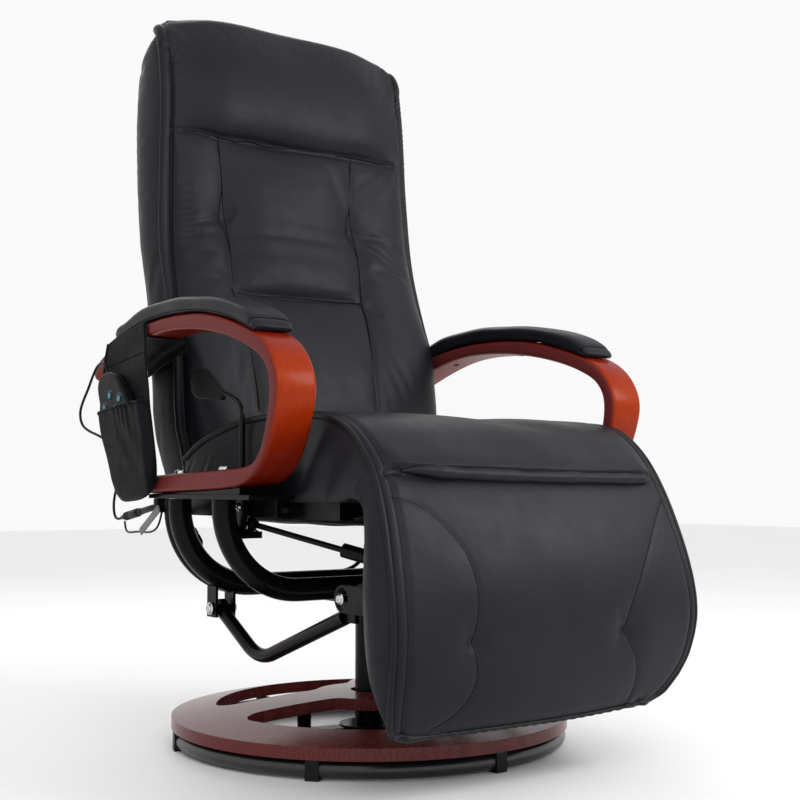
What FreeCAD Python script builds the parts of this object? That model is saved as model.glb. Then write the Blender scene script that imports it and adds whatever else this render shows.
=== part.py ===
import FreeCAD, Part
import Sketcher
import math, os

# Swivel massage recliner, millimetres, +Z up, chair facing -Y.
# Origin: swivel axis on the floor.  The sitter's right side is -X.

V = FreeCAD.Vector
doc = FreeCAD.newDocument("recliner")

# ---------------------------------------------------------------- dimensions
D = {
    # base
    "disc_rad": 290.0, "disc_thick": 16.5, "disc_rim_top": 43.0, "disc_rise": 30.0, "disc_hole_rad": 29.0,
    "win_out_rad": 226.0, "win_in_rad": 80.0, "spoke_half": 40.0, "win_fillet": 26.0,
    "ring_rad": 276.0, "ring_tube_rad": 11.5, "ring_z": 13.5, "clip_wide": 18.0,
    "arm_bar_wide": 30.0, "arm_bar_thick": 16.0, "hub_rad": 45.0, "hub_thick": 20.0,
    "pad_rad": 32.0, "pad_thick": 4.0,
    "col_rad": 22.0, "col_wall": 4.0, "col_top": 195.0, "spin_rad": 14.0, "run_clear": 0.05,
    # cradle
    "tube_rad": 16.0, "tube_wall": 2.0, "tube_half": 284.0, "tube_run_z": 231.0, "tube_bend": 115.0,
    "tube_top": 354.7, "tube_front_y": -70.0, "tube_rear_y": 60.0,
    "slim_rad": 10.0, "slim_y": 87.5, "slim_run_z": 225.0, "slim_bend": 118.0,
    "plate_thick": 6.0, "plate_z": 355.5,
    # arms
    "arm_in": 255.0, "arm_wide": 58.0, "arm_round": 4.0, "armpad_wide": 56.0,
    # seat carriage
    "slide_travel": 76.0, "rail_high": 18.0, "rail_deep": 10.0, "rail_len": 260.0, "rail_in": 234.0,
    "frame_out": 226.0, "frame_side": 20.0, "frame_high": 25.0, "frame_z": 330.0,
    "seat_half": 238.0, "back_half": 228.0, "foot_half": 246.0,
    "pin_rad": 6.0, "strap_wide": 50.0, "motor_rad": 22.0,
    # footrest link, gas strut, release lever
    "bar_rad": 9.5, "link_x": 217.0, "strut_rod_rad": 4.0, "strut_tube_rad": 9.5,
    "lever_rod_rad": 4.0, "lever_x": 249.0, "paddle_thick": 9.0,
    # handset and pouch
    "hs_wide": 86.0, "hs_high": 127.0, "hs_front": 7.0, "hs_back": 8.5, "btn_rad": 4.5, "btn_long": 9.0,
    "cord_rad": 2.0, "wire_rad": 1.5, "lead_rad": 3.0, "plug_rad": 6.5,
}
sheet = doc.addObject("Spreadsheet::Sheet", "dims")
for i, (k, v) in enumerate(D.items(), 1):
    sheet.set("A%d" % i, k)
    sheet.set("B%d" % i, "%g" % v)
    sheet.setAlias("B%d" % i, k)
doc.recompute()

nodes = {}
count = [0]


def nm(base="o"):
    count[0] += 1
    return "%s_%03d" % (base, count[0])


def bind(o, prop, val):
    if isinstance(val, str):
        o.setExpression(prop, val)
    else:
        setattr(o, prop, val)


def place(o, pos, rot=None):
    o.Placement = FreeCAD.Placement(V(*[0 if isinstance(c, str) else c for c in pos]), rot or FreeCAD.Rotation())
    for c, ax in zip(pos, "xyz"):
        if isinstance(c, str):
            o.setExpression("Placement.Base." + ax, c)


def box(l, w, h, pos, rot=None):
    o = doc.addObject("Part::Box", nm("box"))
    bind(o, "Length", l); bind(o, "Width", w); bind(o, "Height", h)
    place(o, pos, rot)
    return o


def span(x0, x1, y0, y1, z0, z1):
    return box(x1 - x0, y1 - y0, z1 - z0, (x0, y0, z0))


def cyl(r, h, pos, axis=(0, 0, 1)):
    o = doc.addObject("Part::Cylinder", nm("cyl"))
    bind(o, "Radius", r); bind(o, "Height", h)
    place(o, pos, FreeCAD.Rotation(V(0, 0, 1), V(*axis)))
    return o


def fuse(objs):
    o = doc.addObject("Part::MultiFuse", nm("fuse")); o.Shapes = list(objs)
    return o


def cut(a, b):
    o = doc.addObject("Part::Cut", nm("cut")); o.Base = a; o.Tool = b
    return o


def group(objs):
    o = doc.addObject("Part::Compound", nm("set")); o.Links = list(objs)
    return o


def node(label, o):
    o.Label = label
    nodes[label] = o
    return o


def plane(body, role):
    return [f for f in body.Origin.OriginFeatures if f.Role == role][0]


def sketch(body, role, offset=None):
    s = body.newObject("Sketcher::SketchObject", nm("sk"))
    s.AttachmentSupport = [(plane(body, role), "")]
    s.MapMode = "FlatFace"
    if offset is not None:
        s.AttachmentOffset = offset
    return s


def poly(s, pts):
    n = len(pts)
    for i in range(n):
        a, b = pts[i], pts[(i + 1) % n]
        s.addGeometry(Part.LineSegment(V(a[0], a[1], 0), V(b[0], b[1], 0)), False)
    for i in range(n):
        s.addConstraint(Sketcher.Constraint("Coincident", i, 2, (i + 1) % n, 1))


def profile(pts, width, x0, round_expr=None):
    # side outline in (y, z), padded along +X from x0
    b = doc.addObject("PartDesign::Body", nm("body"))
    s = sketch(b, "YZ_Plane")
    poly(s, pts)
    p = b.newObject("PartDesign::Pad", nm("pad"))
    p.Profile = s
    bind(p, "Length", width)
    place(b, (x0, 0, 0))
    return b


def spline_profile(curves, width, x0, fillet=None):
    # closed outline of interpolated curves and straight ends
    b = doc.addObject("PartDesign::Body", nm("body"))
    s = sketch(b, "YZ_Plane")
    ends = []
    for c in curves:
        if len(c) > 2:
            g = Part.BSplineCurve(); g.interpolate([V(y, z, 0) for y, z in c])
        else:
            g = Part.LineSegment(V(c[0][0], c[0][1], 0), V(c[1][0], c[1][1], 0))
        s.addGeometry(g, False)
    p = b.newObject("PartDesign::Pad", nm("pad"))
    p.Profile = s
    bind(p, "Length", width)
    place(b, (x0, 0, 0))
    if fillet:
        doc.recompute()
        names = []
        for i, e in enumerate(p.Shape.Edges, 1):
            xs = [v.Point.x for v in e.Vertexes]
            if max(xs) - min(xs) < 1e-6 and e.Length > 60:
                names.append("Edge%d" % i)
        f = b.newObject("PartDesign::Fillet", nm("fil"))
        f.Base = (p, names)
        bind(f, "Radius", fillet)
        b.Tip = f
    return b


def rounded(pts, rads):
    # straight runs joined by tangent arcs, as 3-D edges
    P = [V(*p) for p in pts]
    edges, last = [], P[0]
    for i in range(1, len(P) - 1):
        a = (P[i - 1] - P[i]); b = (P[i + 1] - P[i])
        la, lb = a.Length, b.Length
        a.normalize(); b.normalize()
        turn = math.pi - math.acos(max(-1, min(1, a.dot(b))))
        t = math.tan(turn / 2)
        r = rads[i - 1] if rads else 0.45 * min(la, lb) / t
        d = r * t
        p1 = P[i] + a * d; p2 = P[i] + b * d
        bis = a + b; bis.normalize()
        c = P[i] + bis * (r / math.cos(turn / 2))
        m = c - bis * r
        edges.append(Part.LineSegment(last, p1).toShape())
        edges.append(Part.Arc(p1, m, p2).toShape())
        last = p2
    edges.append(Part.LineSegment(last, P[-1]).toShape())
    return edges


def pipe(role, pts, rads, ro, wall=None, pos=(0, 0, 0)):
    # round tube along a flat route; route points are in sketch coordinates of the origin plane
    b = doc.addObject("PartDesign::Body", nm("body"))
    path = sketch(b, role)
    for e in rounded([(p[0], p[1], 0) for p in pts], rads):
        c = e.Curve
        if isinstance(c, Part.Line):
            path.addGeometry(Part.LineSegment(e.Vertexes[0].Point, e.Vertexes[-1].Point), False)
        else:
            mid = e.valueAt((e.FirstParameter + e.LastParameter) / 2)
            path.addGeometry(Part.Arc(e.valueAt(e.FirstParameter), mid, e.valueAt(e.LastParameter)), False)
    d = V(pts[1][0] - pts[0][0], pts[1][1] - pts[0][1], 0); d.normalize()
    off = FreeCAD.Placement(V(pts[0][0], pts[0][1], 0), FreeCAD.Rotation(V(0, 0, 1), d))
    prof = sketch(b, role, off)
    prof.addGeometry(Part.Circle(V(0, 0, 0), V(0, 0, 1), 10), False)
    prof.addConstraint(Sketcher.Constraint("Radius", 0, 10.0))
    prof.renameConstraint(0, "outer")
    prof.setExpression("Constraints.outer", ro)
    if wall:
        prof.addGeometry(Part.Circle(V(0, 0, 0), V(0, 0, 1), 8), False)
        prof.addConstraint(Sketcher.Constraint("Radius", 1, 8.0))
        prof.renameConstraint(1, "inner")
        prof.setExpression("Constraints.inner", ro + " - " + wall)
    pp = b.newObject("PartDesign::AdditivePipe", nm("pipe"))
    pp.Profile = prof
    pp.Spine = (path, [])
    place(b, pos)
    return b


def cord(label, pts, radius):
    # free cord: runs joined by the largest tangent arcs they allow
    P = [V(*p) for p in pts]
    radii = []
    for i in range(1, len(P) - 1):
        a = P[i - 1] - P[i]; b = P[i + 1] - P[i]
        turn = math.pi - a.getAngle(b)
        radii.append(0.45 * min(a.Length, b.Length) / math.tan(turn / 2))
    edges = rounded(pts, None)
    w = Part.Wire(edges)
    d = P[1] - P[0]; d.normalize()
    c = Part.Wire([Part.Circle(P[0], d, radius).toShape()])
    sh = w.makePipeShell([c], True, False)
    o = doc.addObject("Part::Feature", nm("cord"))
    o.Shape = sh
    o.Placement = FreeCAD.Placement()
    print(label, "length %.1f" % w.Length, "volume ratio %.4f" % (sh.Volume / (math.pi * radius ** 2 * w.Length)),
          "radii", ["%.1f" % r for r in radii])
    return node(label, o)


S = lambda k: "dims." + k

# ---------------------------------------------------------------- base
# domed three-window disc
R0, th, zr, rise, rh = D["disc_rad"], D["disc_thick"], D["disc_rim_top"], D["disc_rise"], D["disc_hole_rad"]
ztop = lambda r: zr + rise * (1 - (r / R0) ** 2)
b = doc.addObject("PartDesign::Body", "disc_body")
s = sketch(b, "XZ_Plane")
pm = (R0 + rh) / 2
s.addGeometry(Part.Arc(V(rh, ztop(rh), 0), V(pm, ztop(pm), 0), V(R0, zr, 0)), False)
s.addGeometry(Part.LineSegment(V(R0, zr, 0), V(R0, zr - th, 0)), False)
s.addGeometry(Part.Arc(V(R0, zr - th, 0), V(pm, ztop(pm) - th, 0), V(rh, ztop(rh) - th, 0)), False)
s.addGeometry(Part.LineSegment(V(rh, ztop(rh) - th, 0), V(rh, ztop(rh), 0)), False)
rev = b.newObject("PartDesign::Revolution", "disc_rev")
rev.Profile = s
rev.ReferenceAxis = (s, ["V_Axis"])
rev.Angle = 360
doc.recompute()
vol0 = rev.Shape.Volume
ro, ri, hw, f = D["win_out_rad"], D["win_in_rad"], D["spoke_half"], D["win_fillet"]
a0, a1 = math.radians(51), math.radians(171)


def at(ang, u, v):
    return V(u * math.cos(ang) - v * math.sin(ang), u * math.sin(ang) + v * math.cos(ang), 0)


uo = math.sqrt((ro - f) ** 2 - (hw + f) ** 2)
ui = math.sqrt((ri + f) ** 2 - (hw + f) ** 2)
go = math.atan2(hw + f, uo); gi = math.atan2(hw + f, ui)
s = sketch(b, "XY_Plane")


def fil(ang, sg, u, g, rr, inner):
    # fillet from the straight side to the arc, its mid point, and the arc end
    c = at(ang, u, sg * (hw + f))
    p1 = at(ang, u, sg * hw)
    e = V(math.cos(ang + sg * g), math.sin(ang + sg * g), 0)
    p2 = e * rr
    d1 = p1 - c; d2 = p2 - c
    m = d1 + d2; m.normalize()
    return p1, c + m * f, p2


oA = fil(a0, 1, uo, go, ro, False); oB = fil(a1, -1, uo, go, ro, False)
iA = fil(a0, 1, ui, gi, ri, True); iB = fil(a1, -1, ui, gi, ri, True)
mid = (a0 + a1) / 2
dirm = V(math.cos(mid), math.sin(mid), 0)
for g in (Part.LineSegment(iA[0], oA[0]), Part.Arc(*oA), Part.Arc(oA[2], dirm * ro, oB[2]), Part.Arc(oB[2], oB[1], oB[0]),
          Part.LineSegment(oB[0], iB[0]), Part.Arc(*iB), Part.Arc(iB[2], dirm * ri, iA[2]), Part.Arc(iA[2], iA[1], iA[0])):
    s.addGeometry(g, False)
pk = b.newObject("PartDesign::Pocket", "disc_window")
pk.Profile = s
pk.Length = 120
pk.Reversed = True
doc.recompute()
pat = b.newObject("PartDesign::PolarPattern", "disc_windows")
pat.Originals = [pk]
pat.Axis = (s, ["N_Axis"])
pat.Angle = 360
pat.Occurrences = 3
b.Tip = pat
doc.recompute()
print("disc volume", vol0, pk.Shape.Volume, pat.Shape.Volume)
node("base_disc", b)


def torus(r2):
    o = doc.addObject("Part::Torus", nm("torus"))
    o.setExpression("Radius1", S("ring_rad")); bind(o, "Radius2", r2)
    place(o, (0, 0, S("ring_z")))
    return o


node("base_ring_tube", torus(S("ring_tube_rad")))
clips = []
for ang in (162.0, 220.7, 272.2, 328.0, 28.0, 94.0):
    rot = FreeCAD.Rotation(V(0, 0, 1), ang)
    p = rot.multVec(V(262.5, -9, 0))
    clips.append(box(26.5, S("clip_wide"), 26.2, (p.x, p.y, 0), rot))
node("foot_clips", cut(group(clips), torus("dims.ring_tube_rad + 0.1")))
bars = [cyl(S("hub_rad"), S("hub_thick"), (0, 0, S("pad_thick")))]
for ang in (51, 171, 291):
    rot = FreeCAD.Rotation(V(0, 0, 1), ang)
    p = rot.multVec(V(0, -15, 0))
    bars.append(box("dims.ring_rad - dims.ring_tube_rad - 0.4", S("arm_bar_wide"), S("arm_bar_thick"), (p.x, p.y, 6), rot))
# pillars that carry the board on the bars
seats = [(math.cos(math.radians(a)) * r, math.sin(math.radians(a)) * r, zb, zs)
         for a in (51, 171, 291) for r, zb, zs in ((105, 51.4, 60.0), (215, 38.0, 48.0))]
for x, y, zb, zs in seats:
    bars.append(cyl(10, zb - 20, (x, y, 20)))
node("base_spider", fuse(bars))
node("centre_pad", cyl(S("pad_rad"), S("pad_thick"), (0, 0, 0)))
node("base_screws", group([fuse([cyl(5.5, 2.8, (x, y, 3.1)), cyl(3.0, zs - 5, (x, y, 5))]) for x, y, zb, zs in seats]))
node("column_tube", cut(cyl(S("col_rad"), "dims.col_top - 24", (0, 0, 24)),
                        cyl("dims.col_rad - dims.col_wall", "dims.col_top", (0, 0, 24))))
node("column_bush", cut(fuse([cyl("dims.col_rad - dims.col_wall - 0.05", 80, (0, 0, 115)), cyl(S("col_rad"), 3, (0, 0, S("col_top")))]),
                        cyl("dims.spin_rad + dims.run_clear", 120, (0, 0, 100))))

# ---------------------------------------------------------------- swivel cradle
node("swivel_spindle", fuse([cyl(S("spin_rad"), 147, (0, 0, 62)), cyl(30, 8, (0, 0, 201))]))
node("thrust_washer", cut(cyl(21.5, 2.8, (0, 0, 198.1)), cyl(14.3, 6, (0, 0, 196))))
node("swivel_plate", box(180, 200, 6, (-90, -105, 209)))
node("swivel_bolts", group([fuse([cyl(6.5, 5, (x, y, 203.9)), cyl(4, 5.6, (x, y, 208.9))])
                            for x in (-65, 65) for y in (-70, 60)]))
th_, zt = D["tube_half"], D["tube_top"]


def cradle(rad, y, run, bend, wall=True):
    pts = [(-th_, zt), (-th_, D[run]), (th_, D[run]), (th_, zt)]
    return pipe("XZ_Plane", pts, [D[bend], D[bend]], S(rad), S("tube_wall") if wall else None, (0, S(y), 0))


node("cradle_tube_front", cradle("tube_rad", "tube_front_y", "tube_run_z", "tube_bend"))
node("cradle_tube_rear", cradle("tube_rad", "tube_rear_y", "tube_run_z", "tube_bend"))
node("cradle_tube_back", cradle("slim_rad", "slim_y", "slim_run_z", "slim_bend"))


def sided(side, x0, x1):
    return (x0, x1) if side < 0 else (-x1, -x0)


outer = [(309, 557), (258, 579), (190, 597), (124, 607), (60, 610.5), (0, 609), (-60, 603), (-120, 590), (-172, 574),
         (-205, 561), (-230, 544), (-248, 521), (-256, 496), (-252, 468), (-240, 437), (-222, 407), (-200, 388),
         (-170, 375.5), (-130, 370), (-60, 367), (30, 364.5), (118, 362.2)]
inner = [(118, 387), (30, 389.5), (-60, 392), (-130, 395), (-172, 397.5), (-198, 405), (-214, 422), (-225, 450), (-232.5, 484),
         (-230, 507), (-216, 527), (-190, 543), (-131, 564), (-70, 578), (0, 587.5), (60, 590.5), (117, 587.5), (190, 572), (250, 553), (297, 536)]
pad_low = [(229, 588.5), (190, 597.6), (124, 607.6), (60, 611.1), (0, 609.6), (-60, 603.6), (-120, 590.6), (-172, 574.6), (-193, 567.2)]
pad_top = [(-193, 567.2), (-199, 573), (-194, 585), (-165, 598), (-110, 612), (-45, 624), (30, 630.5), (110, 630.5), (180, 622), (222, 608), (234, 597), (229, 588.5)]

for side, tag in ((-1, "right"), (1, "left")):
    xo = "-dims.arm_in - dims.arm_wide" if side < 0 else "dims.arm_in"
    arm = spline_profile([outer, (outer[-1], inner[0]), inner, (inner[-1], outer[0])], S("arm_wide"), xo, S("arm_round"))
    node("arm_" + tag, arm)
    xp = "-dims.arm_in - dims.armpad_wide" if side < 0 else "dims.arm_in"
    node("arm_pad_" + tag, spline_profile([pad_low, pad_top], S("armpad_wide"), xp))
    # arm plate with a turned-down rail flange and a clearance notch
    x0, x1 = sided(side, -311, -244)
    n0, n1 = sided(side, -258, -240)
    f0, f1 = sided(side, -250, -244)
    plate = cut(box(x1 - x0, 290, S("plate_thick"), (x0, -185, S("plate_z"))), span(n0, n1, -80, -8, 350, 365))
    wedge = profile([(105, 360), (105, 362.0), (30, 363.9), (-60, 366.4), (-130, 369.4), (-150, 370.9), (-150, 360)], "42 mm", "-305 mm" if side < 0 else "263 mm")
    node("arm_plate_" + tag, fuse([plate, wedge, span(f0, f1, -150, -80, 332, 358), span(f0, f1, -8, 105, 332, 358)]))
rails, tongues = [], []
for side in (-1, 1):
    x0, x1 = sided(side, -244, -234)
    g0, g1 = sided(side, -240.5, -233)
    rails.append(cut(box(S("rail_deep"), S("rail_len"), S("rail_high"), (x0, -150, 332)), span(g0, g1, -160, 120, 337, 345)))
    t0, t1 = sided(side, -240, -226)
    tongues.append(span(t0, t1, -130, 25, 337.3, 344.7))
node("seat_rails", group(rails))
node("seat_runners", group(tongues))
node("arm_bolts", group([fuse([cyl(8, 5, (x, y, z)), cyl(4, z - 344, (x, y, 344.5))])
                         for x in (-284, 284) for y, z in ((60, 388.6), (-70, 392.4))]))
# lugs under the rear tube, each with its fixed pin
lugs = []
P = (60.0, 199.0)
for sg in (-1, 1):
    parts = [span(sg * 217 + a, sg * 217 + a + 4, 47, 73, 187, 231) for a in (-16, 12)]
    parts.append(cyl(5.0, 36, (sg * 217 - 18, P[0], P[1]), (1, 0, 0)))
    lugs.append(fuse(parts))
node("link_lugs", group(lugs))
# release head below the right arm plate: cheek, pivot pin, strut seat and its stud
A = V(-240, -68, 322); F = V(-107, -289, 260.5)
u = F - A; strut_len = u.Length; u.normalize()
nrm = u.cross(V(0, 1, 0)); nrm.normalize()
stud0 = A - nrm * 12
head = fuse([span(-262, -256, -82, -10, 303, 355.2), cyl(3.0, 12, (-257, -55, 338), (1, 0, 0)),
             span(-262, -230, -78, -58, 303, 312), cyl(4.0, 20, tuple(stud0), tuple(nrm))])
# notched round the bend of the front tube
node("release_head", cut(head, pipe("XZ_Plane", [(-th_, zt), (-th_, D["tube_run_z"]), (th_, D["tube_run_z"]), (th_, zt)],
                                    [D["tube_bend"], D["tube_bend"]], "dims.tube_rad + 0.4", None, (0, S("tube_front_y"), 0))))
node("harness_clip", span(-300, -280, 100, 113, 335, 355.2))
node("control_box", span(60, 180, 38, 108, 247.4, 281))

# ---------------------------------------------------------------- seat carriage
H = (-270.0, 318.0)      # footrest hinge (y, z)
B = (165.0, 382.0)       # backrest hinge (y, z)
parts = []
for sg in (-1, 1):
    xs = (-226, -206) if sg < 0 else (206, 226)
    parts.append(box(S("frame_side"), 412, S("frame_high"), (xs[0], -262, S("frame_z"))))
    lx = (-176, -170) if sg < 0 else (170, 176)
    parts.append(span(lx[0], lx[1], -283, -250, 303, 342))
    px = -176 if sg < 0 else 158
    parts.append(cyl(S("pin_rad"), 18, (px, H[0], H[1]), (1, 0, 0)))
    ux = (-226, -220) if sg < 0 else (220, 226)
    parts.append(span(ux[0], ux[1], 136, 186, 350, 398))
    bx = -226 if sg < 0 else 206
    parts.append(cyl(S("pin_rad"), 20, (bx, B[0], B[1]), (1, 0, 0)))
for y in (-262, -60, 130):
    parts.append(span(-206, 206, y, y + 20, 334, 352))
brk = cut(span(-125, -87, -308, -270, 282, 288), cyl(11, 20, (F.x, F.y, 275)))
parts += [brk, span(-99, -87, -272, -250, 282, 288), span(-99, -87, -256, -250, 282, 340)]
node("seat_frame", fuse(parts))
node("seat_webbing", group([box(448, S("strap_wide"), 2, (-224, y, 355.2)) for y in (-235, -165, -95, -25, 45)]))
node("seat_motors", group([cyl(S("motor_rad"), 18, (x, -120, 332)) for x in (-85, 85)]))
node("seat_dust_cover", span(-204, 204, -238, 126, 324, 326.5))
seat_pts = [(92, 357.6), (92, 436), (59, 446), (13, 455), (-31, 462), (-94, 466), (-180, 467), (-229, 464), (-270, 452),
            (-300, 440), (-325.7, 432), (-289.3, 357.6)]
node("seat_cushion", profile(seat_pts, "2*dims.seat_half", "-dims.seat_half"))

# ---------------------------------------------------------------- backrest
front = [(101, 428), (104, 470), (120, 540), (140, 592), (154, 624), (182, 693), (205, 776), (216, 846), (225, 916), (230, 986),
         (238, 1048), (250, 1097), (268, 1122), (288, 1134)]
rear = [(238, 405), (240, 430), (246, 500), (257, 540), (265, 580), (270, 620), (278, 660), (292, 700), (307, 740), (320, 780), (331, 820),
        (342, 860), (349, 900), (353, 940), (353, 980), (349, 1020), (340, 1062), (318, 1108), (302, 1122)]
mid_back = [(y - 50, z) for y, z in rear[1:17]]
node("back_cushion", profile(front + [(300, 1128), (292, 1095)] + list(reversed(mid_back)), "2*dims.back_half", "-dims.back_half"))
node("back_rear_panel", profile(rear + [(y - 22, z) for y, z in reversed(rear[:18])], "2*dims.back_half - 4", "-dims.back_half + 2"))
bparts = []
for sg in (-1, 1):
    bparts.append(pipe("YZ_Plane", [(203, 395), (215, 520), (241, 650), (296, 820), (317.5, 940), (312, 1030)], [300, 300, 300, 300], "8.0 * dims.tube_wall / 2", None, (sg * 190, 0, 0)))
    ex = (-217, -211) if sg < 0 else (211, 217)
    bparts.append(cut(span(ex[0], ex[1], 148, 214, 364, 424), cyl("dims.pin_rad + dims.run_clear", 20, (ex[0] - 5, B[0], B[1]), (1, 0, 0))))
    sx = (-214, -186) if sg < 0 else (186, 214)
    bparts.append(span(sx[0], sx[1], 198, 213, 399, 424))
for y, z in ((214, 510), (276, 757), (315, 985)):
    bparts.append(cyl(7, 380, (-190, y, z), (1, 0, 0)))
node("back_frame", fuse(bparts))
node("back_motors", group([cyl(20, 12, (x, y - 6, z), (0, 1, 0)) for x in (-85, 85) for y, z in ((232, 609), (303, 850))]))

# ---------------------------------------------------------------- footrest
foot_front = [(-403, 314), (-410, 284), (-414, 252), (-416, 225), (-414, 198), (-410, 171), (-405, 143), (-399, 118), (-392, 93), (-384, 80)]
node("foot_cushion", profile(foot_front + [(-366, 84), (-374, 108), (-374, 314)], "2*dims.foot_half", "-dims.foot_half"))
fparts = [span(-236, 236, -373.6, -361.6, 110, 310)]
Q = (-277.0, 236.0)
for sg in (-1, 1):
    ax = (-167, -161) if sg < 0 else (161, 167)
    fparts.append(cut(fuse([span(ax[0], ax[1], -364, -262, 297, 320), cyl(14, 6, (ax[0], H[0], H[1]), (1, 0, 0))]),
                      cyl("dims.pin_rad + dims.run_clear", 20, (ax[0] - 5, H[0], H[1]), (1, 0, 0))))
    for ox in (-16, 12):
        e0 = sg * 217 + ox
        fparts.append(cut(fuse([span(e0, e0 + 4, -364, -277, 219, 253), cyl(17, 4, (e0, Q[0], Q[1]), (1, 0, 0))]),
                          cyl(13, 20, (e0 - 5, Q[0], Q[1]), (1, 0, 0))))
node("foot_frame", fuse(fparts))
node("foot_motors", group([cyl(20, 12, (x, -361.4, 215), (0, 1, 0)) for x in (-90, 90)]))
# bent link bars: eye on the lug pin at the rear, slotted-ear pin at the front
bars2 = []
for sg in (-1, 1):
    bar = pipe("YZ_Plane", [(54, 194), (-51, 137), (-262, 212)], [80], S("bar_rad"), None, (sg * 217, 0, 0))
    eye = cyl(13, 10, (sg * 217 - 5, P[0], P[1]), (1, 0, 0))
    tab = fuse([span(sg * 217 - 3, sg * 217 + 3, -287, -252, 206, 236), cyl(11, 6, (sg * 217 - 3, Q[0], Q[1]), (1, 0, 0))])
    pin = cyl(4, 36, (sg * 217 - 18, Q[0], Q[1]), (1, 0, 0))
    bars2.append(cut(fuse([bar, eye, tab, pin]), cyl(5.05, 40, (sg * 217 - 20, P[0], P[1]), (1, 0, 0))))
node("link_bars", group(bars2))

# ---------------------------------------------------------------- lockable gas strut
eye_a = A - nrm * 6
rod = fuse([cut(cyl(8, 12, tuple(eye_a), tuple(nrm)), cyl(4.05, 40, tuple(A - nrm * 20), tuple(nrm))),
            cyl(S("strut_rod_rad"), 168, tuple(A + u * 6.5), tuple(u))])
node("strut_rod", cut(rod, cyl(4.05, 40, tuple(A - nrm * 20), tuple(nrm))))
tube = cut(cyl(S("strut_tube_rad"), strut_len - 140 + 6, tuple(A + u * 140), tuple(u)), cyl("dims.strut_rod_rad + dims.run_clear", 114, tuple(A + u * 139), tuple(u)))
node("strut_cylinder", fuse([tube, cyl(4, 33, (F.x, F.y, F.z - 1))]))

# ---------------------------------------------------------------- release lever
lx = -D["lever_x"]
rodb = pipe("YZ_Plane", [(-55, 343), (-55, 484), (9, 506)], [22], S("lever_rod_rad"), None, (lx, 0, 0))
node("lever_rod", cut(fuse([rodb, cyl(9, 9, (-254.5, -55, 338), (1, 0, 0))]), cyl(3.05, 30, (-265, -55, 338), (1, 0, 0))))
paddle = [(-1, 492), (-4, 504), (14, 516), (32, 529), (50, 539), (66, 542), (80, 540), (91, 533), (95, 522), (91, 509), (80, 501), (66, 498)]
node("lever_paddle", profile(paddle, S("paddle_thick"), "-dims.lever_x - dims.paddle_thick / 2"))

# ---------------------------------------------------------------- pouch, handset, cords
node("pouch", fuse([cut(span(-338, -314, 48, 246, 354, 478), span(-335, -317.5, 147, 239, 412, 490)), span(-317.5, -314, 100, 246, 470, 592)]))
node("pouch_inner_flap", span(-254.4, -251.4, 125, 235, 545, 584))
btn = [(194, 506), (161, 500), (212, 488), (178, 483)]
front_shell = cut(box(S("hs_front"), S("hs_wide"), S("hs_high"), (-334, 150, 415)),
                  group([cyl("dims.btn_rad + 0.3", 20, (-340, y, z), (1, 0, 0)) for y, z in btn]))
node("handset_front", front_shell)
node("handset_back", box(S("hs_back"), S("hs_wide"), S("hs_high"), (-327, 150, 415)))
for i, (y, z) in enumerate(btn, 1):
    node("handset_button_%d" % i, cyl(S("btn_rad"), "dims.btn_long - 1.5", (-335.6, y, z), (1, 0, 0)))
hs_route = [(-325, 224, 542), (-325.5, 227, 551), (-327, 237, 559), (-328.5, 254, 556), (-329.5, 270, 541), (-330.5, 285, 521), (-331, 303, 504),
            (-331, 316, 487), (-330, 311, 468), (-327, 290, 457), (-321, 265, 450), (-310, 246, 438), (-302, 236, 417), (-298, 238, 393),
            (-295, 254, 371), (-292, 271, 350), (-290, 274, 330), (-290, 260, 320.6), (-290, 243, 325)]
plug_dir = V(0, -1, 20.0 / 131.0); plug_dir.normalize()
cord("handset_cord", hs_route, D["cord_rad"])
pl0 = V(-290, 243, 325)
node("handset_plug", fuse([cyl(S("plug_rad"), 62, tuple(pl0), tuple(plug_dir)), cyl("dims.plug_rad - 1.5", 129.2, tuple(pl0 + plug_dir * 1), tuple(plug_dir))]))
cord("tail_wire", [(-290, 233, 320), (-290, 231, 309), (-291, 219, 303), (-291, 197, 304.5), (-290.5, 174, 306), (-290, 151, 305), (-290, 129, 308), (-290, 112, 319), (-290, 106, 335)], D["wire_rad"])
cord("harness_lead", [(-280, 106.5, 345), (-268, 106.8, 343), (-256, 107, 332), (-243, 107.5, 309), (-227, 107.5, 283), (-206, 105, 260),
                      (-178, 97, 245), (-146, 90, 239.5), (-105, 87.5, 238.6), (-50, 87.5, 238.6), (0, 88, 239.5), (30, 91, 246), (48, 95, 257), (60, 97, 264)], D["lead_rad"])
node("lead_plug", cyl(8, 44, (-247.9, 107.4, 317.5), tuple((V(-227, 107.5, 283) - V(-243, 107.5, 309)))))
node("tie_strap", box(2, 11, 70, (-302, 149.5, 301.5), FreeCAD.Rotation(V(1, 0, 0), 60)))

# ---------------------------------------------------------------- export
doc.recompute()
bad = []
for o in doc.Objects:
    if any(w in ("Invalid", "Error") for w in o.State):
        bad.append((o.Label, o.State))
for label, o in nodes.items():
    sh = o.Shape
    if sh.isNull() or not sh.isValid() or not sh.Solids:
        bad.append((label, "shape"))
if bad:
    raise RuntimeError("failed objects: %s" % bad)
os.makedirs("parts", exist_ok=True)
for label, o in nodes.items():
    o.Shape.exportStep(os.path.join("parts", label + ".step"))
bb = None
for o in nodes.values():
    bb = o.Shape.BoundBox if bb is None else bb.united(o.Shape.BoundBox)
print(len(nodes), "nodes, box", bb)
for label, o in nodes.items():
    print("  %-20s solids %d  volume %.0f" % (label, len(o.Shape.Solids), o.Shape.Volume))
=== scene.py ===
import bpy
import math
import numpy as np
from mathutils import Matrix, Vector
from mathutils.bvhtree import BVHTree


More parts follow.
